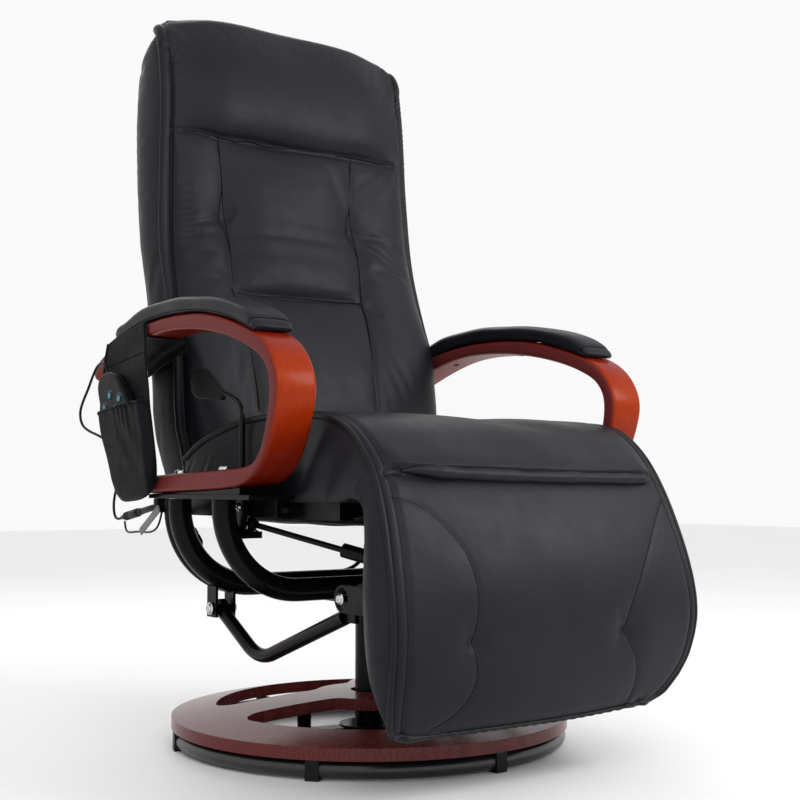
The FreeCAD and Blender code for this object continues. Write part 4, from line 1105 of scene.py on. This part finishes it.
pl_top = [(228, 588), (186, 598.5), (140, 604.5), (100, 608)]
pl_left = [(228, 588), (238, 558), (246, 520), (249, 480), (236, 446), (224, 429), (203, 398), (193, 380), (184, 366), (176, 357.5)]
pl_right = [(100, 608), (94, 564), (88, 530), (79, 492), (71, 463), (62, 433), (56, 410), (53.5, 393), (56, 379), (64, 370)]
pl_bot = [(176, 357.5), (168, 353.6), (152, 351.4), (131, 352.4), (83, 359.5), (72, 364.5), (64, 370)]
pk_top = [(249, 480), (235.6, 482.5), (216.7, 485), (190.7, 487), (161.6, 488), (140.3, 489), (126.4, 491), (95.6, 493), (79, 492)]
pk_left = [(249, 480), (242.5, 460), (236, 446), (224, 429), (203, 398), (193, 380), (184, 366), (176, 357.5)]
pk_right = [(79, 492), (71, 463), (62, 433), (56, 410), (53.5, 393), (56, 379), (64, 370)]
G = coons(pl_top, pl_bot, pl_left, pl_right, 90, 56)
vv, uu = np.meshgrid(np.linspace(0, 1, 56), np.linspace(0, 1, 90))


def thick_sheet(name, P, mat, thick):
    nu, nv = P.shape[:2]
    o = new_object(name, P.reshape(-1, 3), sheet_faces(nu, nv), mat)
    m = o.modifiers.new("thick", "SOLIDIFY")
    m.thickness = thick
    m.offset = 0.0
    baked(o)
    refine(o)
    return o


def sheet_area(P):
    a, b, c, d = P[:-1, :-1], P[:-1, 1:], P[1:, 1:], P[1:, :-1]
    return 0.5 * (np.linalg.norm(np.cross(b - a, c - a), axis=2).sum() + np.linalg.norm(np.cross(c - a, d - a), axis=2).sum())


bx = -316.0 - 2.2 * np.sin(math.pi * vv) * ramp(0.15, 0.5, uu) - 1.3 * np.sin(uu * 21 + vv * 3.0) * ramp(0.02, 0.12, uu) * ramp(0.62, 0.45, uu)
LEAN = 0.81033 / 0.58597                                      # outlines are given at x = -328
back_sheet = np.stack([bx, G[:, :, 0] + (bx + 328) * LEAN, G[:, :, 1]], 2) * MM
PG = coons(pk_top, pl_bot, pk_left, pk_right, 64, 90)
vp, down_ = np.meshgrid(np.linspace(0, 1, 90), np.linspace(0, 1, 64))
edge = np.minimum(1, vp / 0.05) ** 0.5 * np.minimum(1, (1 - vp) / 0.17) ** 0.55 * np.minimum(1, (1 - down_) / 0.24) ** 0.55
full = 4.0 + 15.8 * edge
rip = np.exp(-down_ / 0.16) * (0.12 + 0.88 * ramp(0.25, 0.60, vp)) * (0.3 + 0.7 * edge)
slack = np.exp(-((down_ - 0.30) / 0.28) ** 2) * ramp(0.20, 0.55, vp) * edge
px_ = (-317.0 - full + 1.5 * rip * np.sin(vp * 58 - down_ * 8 + 2.4 * np.sin(vp * 11 + 0.6)) + 1.0 * slack * np.sin(vp * 21 - down_ * 10.5 + 1.1)
       - 0.8 * np.exp(-((1 - vp - 0.13) / 0.035) ** 2) * ramp(0.05, 0.3, down_) + 0.7 * np.sin(vp * 7 + down_ * 4.0) * edge * down_)
pocket = np.stack([px_, PG[:, :, 0] + (px_ + 328) * LEAN, PG[:, :, 1] + 1.2 * rip * np.sin(vp * 58 + 2.4 * np.sin(vp * 11 + 0.6) + 1.2)], 2) * MM
p_back = thick_sheet("pouch_back", back_sheet, FABRIC, 0.0012)
p_front = thick_sheet("pouch_pocket", pocket, FABRIC, 0.0011)
border = np.concatenate([back_sheet[:, 0], back_sheet[-1, 1:], back_sheet[::-1, -1][1:]])
binding = sweep("pouch_binding", [through(border + np.array([-0.0008, 0, 0]), 220)], 0.0017, FABRIC, 8)
elastic = sweep("pouch_elastic", [pocket[0] + np.array([-0.0004, 0, 0.0])], 0.0019, FABRIC, 8)
fold_line = np.stack([np.full(60, -0.3185), *(np.array(through([(256, 552), (180, 560), (106, 567)], 60)).T * MM)], 1)
tr = tree_of(p_back)
pfold = sweep("pouch_fold_seam", [seated(tr, fold_line, 0.0004)], 0.0011, FABRIC, 8)
# the strap passes under the pad and round the arm; its tail hangs inside
ny_ = 44
y_at = np.linspace(108, 240, ny_)
lo_z = np.interp(y_at, [60, 117, 190, 250, 297], [590.5, 587.5, 572, 553, 536])
hi_z = np.interp(y_at, [60, 124, 190, 258, 309], [610.5, 607, 597, 579, 557])
tail_z = np.interp(y_at, [108, 150, 163, 200, 240], [583, 575, 571, 563, 553]) - 12.0
wrap = []
for k in range(ny_):
    sec = [(-315.2, hi_z[k] - 1.0), (-315.4, hi_z[k] - 9), (-315.2, lo_z[k] + 3), (-313.6, lo_z[k] - 0.9), (-310.0, lo_z[k] - 1.5), (-300, lo_z[k] - 1.7), (-284, lo_z[k] - 1.9),
           (-268, lo_z[k] - 1.9), (-256, lo_z[k] - 2.6), (-253.6, lo_z[k] - 5.0), (-252.8, 0.5 * (lo_z[k] + tail_z[k]) - 3.5), (-252.2, tail_z[k])]
    wrap.append([(x, y_at[k], z) for x, z in sec])
wrap = np.array(wrap)
wrap = np.stack([through(w_, 34) for w_ in wrap]) * MM
wrap[:, -9:, 0] += 0.0009 * np.sin(np.linspace(0, 9, ny_))[:, None] * np.linspace(0, 1, 9)[None]
p_flap = thick_sheet("pouch_strap", wrap, FABRIC, 0.0012)
hemline = sweep("pouch_strap_hem", [wrap[:, -1]], 0.0014, FABRIC, 8)
flap = wrap
# the strap passes between the pad and the arm, from the pouch to the tail
for q in (p_back, p_front, binding, elastic, pfold, p_flap, hemline):
    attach(q, "swivel")
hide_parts("pouch"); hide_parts("pouch_inner_flap")
for q, P, held, w, h in ((p_back, back_sheet, "hung", 0.185, 0.262), (p_front, pocket, "gathered", 0.290, 0.165), (p_flap, flap, "folded", 0.142, 0.112)):
    A_ = float(sheet_area(P))
    k = max(1.0, A_ / (w * h) * 1.002)

# ------------------------------------------------------------------ handset
hs_out = np.array([(214.6, 541.8), (229.0, 538.8), (238.6, 532.2), (242.6, 524.0), (241.0, 513.0), (235.4, 498.6), (229.0, 483.0), (222, 466), (214, 449), (205, 438.5), (190, 433),
                   (165, 434), (143, 442), (131, 456), (126.5, 472), (128.5, 486), (137, 498.3), (150.7, 512), (165.7, 526.0), (181, 536.4), (197.6, 541.0), (214.6, 541.8)])
hs_d = chord(hs_out)
hs_out = cubic(np.r_[hs_d[:-1] - hs_d[-1], hs_d, hs_d[1:] + hs_d[-1]], np.concatenate([hs_out[:-1], hs_out, hs_out[1:]]), np.linspace(0, hs_d[-1], 73)[:-1])
if np.sum(hs_out[:, 0] * np.roll(hs_out[:, 1], -1) - np.roll(hs_out[:, 0], -1) * hs_out[:, 1]) < 0:
    hs_out = hs_out[::-1]


def shell(name, levels, mat):
    # outline inset by each level's amount at its x
    c = hs_out.mean(0)
    rows = []
    for x, ins in levels:
        d = hs_out - c
        L = np.linalg.norm(d, axis=1)[:, None]
        q = c + d * (1 - ins / L)
        rows.append(np.stack([np.full(len(q), x), q[:, 0], q[:, 1]], 1))
    A = np.array(rows) * MM
    m = A.shape[1]
    Fc = loop_faces(len(A), m, flip=True)
    Fc += [tuple(range(m)), tuple((len(A) - 1) * m + j for j in range(m))[::-1]]
    return new_object(name, A.reshape(-1, 3), Fc, mat)


h_front = shell("handset_face", [(-327.1, 0.5), (-328.2, 0.0), (-331.0, 0.2), (-332.6, 1.2), (-333.6, 3.0), (-334.0, 5.5)], HANDSET)
h_back = shell("handset_rear", [(-318.6, 5.0), (-319.2, 2.4), (-320.6, 0.8), (-322.5, 0.0), (-326.0, 0.0), (-326.9, 0.6)], HANDSET)
btn = [(194, 506), (161, 500), (212, 488), (178, 483)]
cutters = lathe("button_holes", [((-0.3375, y * MM, z * MM), (1, 0, 0), [(0, 0.0049), (0.009, 0.0049)]) for y, z in btn], HANDSET, 32)
md = h_front.modifiers.new("holes", "BOOLEAN"); md.object = cutters; md.solver = "EXACT"
baked(h_front)
bpy.data.objects.remove(cutters)
for o in (h_front, h_back):
    o.data.polygons.foreach_set("use_smooth", [False] * len(o.data.polygons))
    md = o.modifiers.new("edge", "BEVEL"); md.width = 0.0005; md.segments = 2; md.limit_method = "ANGLE"
    md.angle_limit = math.radians(35)
    baked(o)
    md = o.modifiers.new("wn", "WEIGHTED_NORMAL"); md.keep_sharp = True
    o.data.polygons.foreach_set("use_smooth", [True] * len(o.data.polygons))
    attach(o, "swivel")
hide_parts("handset_front"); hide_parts("handset_back")
arcs = []
for y, z in btn:
    ph = np.radians(np.linspace(35, 145, 12))
    arcs.append(np.stack([np.full(12, -334.05), y + 7.6 * np.cos(ph), z + 7.6 * np.sin(ph)], 1) * MM)
arc_o = sweep("handset_marks", arcs, 0.00035, MARK, 6)
rings = [np.stack([np.full(33, -334.0), y + 5.6 * np.cos(np.linspace(0, 2 * math.pi, 33)), z + 5.6 * np.sin(np.linspace(0, 2 * math.pi, 33))], 1) * MM for y, z in btn]
ring_o = sweep("handset_rims", rings, 0.00045, HANDSET, 8)
for q in (arc_o, ring_o):
    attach(q, "swivel")


# ------------------------------------------------------------------ cords
def nurbs(name, pts, r, mat):
    cd = bpy.data.curves.new(name, "CURVE")
    cd.dimensions = "3D"
    cd.bevel_depth = r * MM
    cd.bevel_resolution = 5
    cd.resolution_u = 10
    cd.use_fill_caps = True
    sp = cd.splines.new("NURBS")
    sp.points.add(len(pts) - 1)
    for p, q in zip(sp.points, pts):
        p.co = (q[0] * MM, q[1] * MM, q[2] * MM, 1)
    sp.order_u = 3
    sp.use_endpoint_u = True
    cd.materials.append(mat)
    o = bpy.data.objects.new(name, cd)
    scene.collection.objects.link(o)
    return o


hs_route = [(-325, 224, 542), (-325.5, 227, 551), (-327, 237, 559), (-328.5, 254, 556), (-329.5, 270, 541), (-330.5, 285, 521), (-331, 303, 504),
            (-331, 316, 487), (-330, 311, 468), (-327, 290, 457), (-321, 265, 450), (-310, 246, 438), (-302, 236, 417), (-298, 238, 393),
            (-295, 254, 371), (-292, 271, 350), (-290, 274, 330), (-290, 260, 320.6), (-290, 243, 325)]
tail_route = [(-290, 233, 320), (-290, 231, 309), (-291, 219, 303), (-291, 197, 304.5), (-290.5, 174, 306), (-290, 151, 305), (-290, 129, 308), (-290, 112, 319), (-290, 106, 335)]
lead_route = [(-280, 106.5, 345), (-268, 106.8, 343), (-256, 107, 332), (-243, 107.5, 309), (-227, 107.5, 283), (-206, 105, 260),
              (-178, 97, 245), (-146, 90, 239.5), (-105, 87.5, 238.6), (-50, 87.5, 238.6), (0, 88, 239.5), (30, 91, 246), (48, 95, 257), (60, 97, 264)]
hs_cord = nurbs("handset_flex", hs_route, 2.0, CORDM)
tail = nurbs("tail_flex", tail_route, 1.5, CORDM)
lead = nurbs("harness_flex", lead_route, 3.0, CORDM)
pd = np.array([0, -1, 20 / 131.0]); pd /= np.linalg.norm(pd)
prof = [(-0.0015, 0.0022), (0.0, 0.0030), (0.010, 0.0040), (0.014, 0.0058), (0.016, 0.0065), (0.024, 0.0065), (0.0245, 0.0060), (0.0265, 0.0060), (0.027, 0.0065),
        (0.031, 0.0065), (0.0315, 0.0060), (0.0335, 0.0060), (0.034, 0.0065), (0.058, 0.0065), (0.0615, 0.0060), (0.062, 0.0046)]
plug = lathe("handset_connector", [((-0.290, 0.243, 0.325), pd, prof)], PLASTIC)
prof = [(0.0622, 0.0048), (0.0630, 0.0051), (0.075, 0.0049), (0.0755, 0.0045), (0.0775, 0.0045), (0.078, 0.0048), (0.108, 0.0046), (0.118, 0.0036), (0.1295, 0.0030), (0.1305, 0.0024)]
socket = lathe("harness_socket", [((-0.290, 0.243, 0.325), pd, prof)], PLASTIC)
ld = np.array([16, 0, -26.0]); ld /= np.linalg.norm(ld)
prof = [(0.0, 0.0034), (0.006, 0.0046), (0.010, 0.0074), (0.012, 0.0080), (0.019, 0.0080), (0.0195, 0.0075), (0.0215, 0.0075), (0.022, 0.0080), (0.031, 0.0080), (0.034, 0.0074), (0.038, 0.0048), (0.044, 0.0034)]
lplug = lathe("harness_connector", [((-0.2479, 0.1074, 0.3175), ld, prof)], PLASTIC)
for o, s_ in ((hs_cord, "cord"), (tail, "cord"), (lead, "cord"), (plug, "plastic_black"), (socket, "plastic_black"), (lplug, "plastic_black")):
    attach(o, "swivel")
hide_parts("handset_cord"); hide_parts("tail_wire"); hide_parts("harness_lead")
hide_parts("handset_plug"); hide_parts("lead_plug")


# ------------------------------------------------------------------ bright fasteners
def bolt_prof(r, h):
    return [(-0.002, r * 0.55), (0.0, r * 1.30), (0.0012, r * 1.30), (0.0014, r), (h * 0.55, r), (h * 0.85, r * 0.82), (h, r * 0.55), (h, r * 0.30), (h * 0.6, r * 0.26)]


groups = {"swivel": [], "links": [], "seat": [], "strut_rod_end": []}
for sg in (-1, 1):
    for e in (-1, 1):
        groups["swivel"].append(((0.001 * (sg * 217 + e * 17.6), 0.060, 0.199), (e, 0, 0), bolt_prof(0.0070, 0.0050)))
        groups["links"].append(((0.001 * (sg * 217 + e * 17.6), -0.277, 0.236), (e, 0, 0), bolt_prof(0.0058, 0.0045)))
for y, z in ((-70, 345), (-22, 345), (-20, 318), (-55, 338)):
    groups["swivel"].append(((-0.2618, y * MM, z * MM), (-1, 0, 0), bolt_prof(0.0046, 0.0036)))
groups["swivel"].append(((-0.236, -0.068, 0.3121), (0, 0, 1), bolt_prof(0.0040, 0.0020)))
for b_, items in groups.items():
    if items:
        o = lathe("bolt_heads_" + b_, items, CHROME, 24)
        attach(o, b_)

arm_heads = [((sx * 0.284, y * MM, z * MM), (0, 0, 1), [(-0.030, 0.0038), (-0.0032, 0.0038), (-0.0030, 0.0088), (-0.0020, 0.0090), (-0.0018, 0.0078), (0.0006, 0.0078),
              (0.0024, 0.0070), (0.0036, 0.0054), (0.0042, 0.0034), (0.0040, 0.0026), (0.0022, 0.0024)]) for sx in (-1, 1) for y, z in ((60, 392.0), (-70, 395.6))]
o = lathe("arm_bolt_heads", arm_heads, CHROME, 28)
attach(o, "swivel"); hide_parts("arm_bolts")

# ------------------------------------------------------------------ underside cloth of the seat
n1, n2 = 60, 70
yy, xx = np.meshgrid(np.linspace(-0.240, 0.126, n2), np.linspace(-0.2035, 0.2035, n1))
ex, ey = 1 - np.abs(xx / 0.2035) ** 6, 1 - np.abs((yy + 0.057) / 0.183) ** 6
zz = 0.3262 - 0.0062 * ex * ey + 0.0010 * np.sin(xx * 40 + yy * 18) * ex * ey + 0.0008 * np.sin(yy * 62 + 2 * np.sin(xx * 20)) * ex * ey
under = thick_sheet("seat_underside", np.stack([xx, yy, zz], 2), CLOTH, 0.0010)
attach(under, "seat"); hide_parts("seat_dust_cover")


# ------------------------------------------------------------------ finishes of the CAD nodes
def finish_node(name, mat, bevel=0.0, seg=2):
    o = N[name]
    o.data.materials.clear()
    o.data.materials.append(mat)
    for p in o.data.polygons:
        p.material_index = 0
    if bevel:
        w = o.modifiers.new("weld", "WELD"); w.merge_threshold = 1e-5
        m = o.modifiers.new("edge", "BEVEL")
        m.width = bevel; m.segments = seg; m.limit_method = "ANGLE"; m.angle_limit = math.radians(38)
        m.harden_normals = False
        m.use_clamp_overlap = True
        wn = o.modifiers.new("wn", "WEIGHTED_NORMAL"); wn.keep_sharp = False


for n_, m_, b_ in (("base_disc", WOOD_BASE, 0.0022), ("base_ring_tube", RINGBLK, 0), ("foot_clips", PLASTIC, 0.0018), ("base_spider", STEEL, 0.0012), ("centre_pad", RUBBER, 0.0010),
                   ("base_screws", BRIGHT, 0), ("column_tube", STEEL, 0.0008), ("column_bush", PLASTIC, 0.0006), ("swivel_spindle", BRIGHT, 0.0005), ("thrust_washer", BRIGHT, 0),
                   ("swivel_plate", STEEL, 0.0010), ("swivel_bolts", CHROME, 0.0008), ("cradle_tube_front", STEEL, 0), ("cradle_tube_rear", STEEL, 0), ("cradle_tube_back", STEEL, 0),
                   ("arm_plate_right", STEEL, 0.0010), ("arm_plate_left", STEEL, 0.0010), ("seat_rails", STEEL, 0.0006), ("link_lugs", STEEL, 0.0008),
                   ("release_head", STEEL, 0.0008), ("harness_clip", PLASTIC, 0.0015), ("control_box", PLASTIC, 0.0030), ("seat_runners", BRIGHT, 0.0005), ("seat_frame", STEEL, 0.0012),
                   ("seat_webbing", CLOTH, 0), ("seat_motors", PLASTIC, 0.0020), ("back_frame", STEEL, 0.0008), ("back_motors", PLASTIC, 0.0015), ("foot_frame", BOARD, 0.0010),
                   ("foot_motors", PLASTIC, 0.0015), ("link_bars", STEEL, 0.0006), ("strut_rod", RODBLK, 0.0003), ("strut_cylinder", RODBLK, 0.0012), ("lever_rod", RODBLK, 0.0004),
                   ("lever_paddle", PLASTIC, 0.0032), ("tie_strap", GREY, 0.0004)):
    finish_node(n_, m_, b_)
for k in range(1, 5):
    finish_node("handset_button_%d" % k, TEAL, 0.0009, 3)

# ------------------------------------------------------------------ floor and light
floor = new_object("floor", [(-9, -9, 0), (9, -9, 0), (9, 9, 0), (-9, 9, 0)], [(0, 1, 2, 3)], None)
fm, ft, fb = material("floor_pale", (0.86, 0.86, 0.86), 0.6)
ft.links.new(blend_rgb(ft, noise(ft, coords(ft), 2.0, 2), (0.85, 0.85, 0.85), (0.87, 0.87, 0.87)), fb.inputs["Base Color"])
floor.data.materials.append(fm)
world = bpy.data.worlds.new("studio")
scene.world = world
world.use_nodes = True
world.node_tree.nodes["Background"].inputs["Color"].default_value = (1.0, 1.0, 1.0, 1)
world.node_tree.nodes["Background"].inputs["Strength"].default_value = 0.95
scene.view_settings.view_transform = "Standard"


def area(name, loc, target, size, power, color=(1, 1, 1)):
    l = bpy.data.lights.new(name, "AREA")
    l.shape = "RECTANGLE"; l.size, l.size_y = size
    l.energy = power; l.color = color
    o = bpy.data.objects.new(name, l)
    scene.collection.objects.link(o)
    o.location = loc
    o.rotation_euler = (Vector(target) - Vector(loc)).to_track_quat("-Z", "Y").to_euler()
    return o


area("key", (-0.9, -2.6, 2.2), (0, -0.1, 0.5), (1.4, 1.4), 17)
area("fill", (1.35, -1.85, 1.60), (0, -0.40, 0.38), (1.05, 1.05), 25)
area("rim", (0.6, 2.2, 2.4), (0, 0.1, 0.8), (2.0, 1.2), 18)
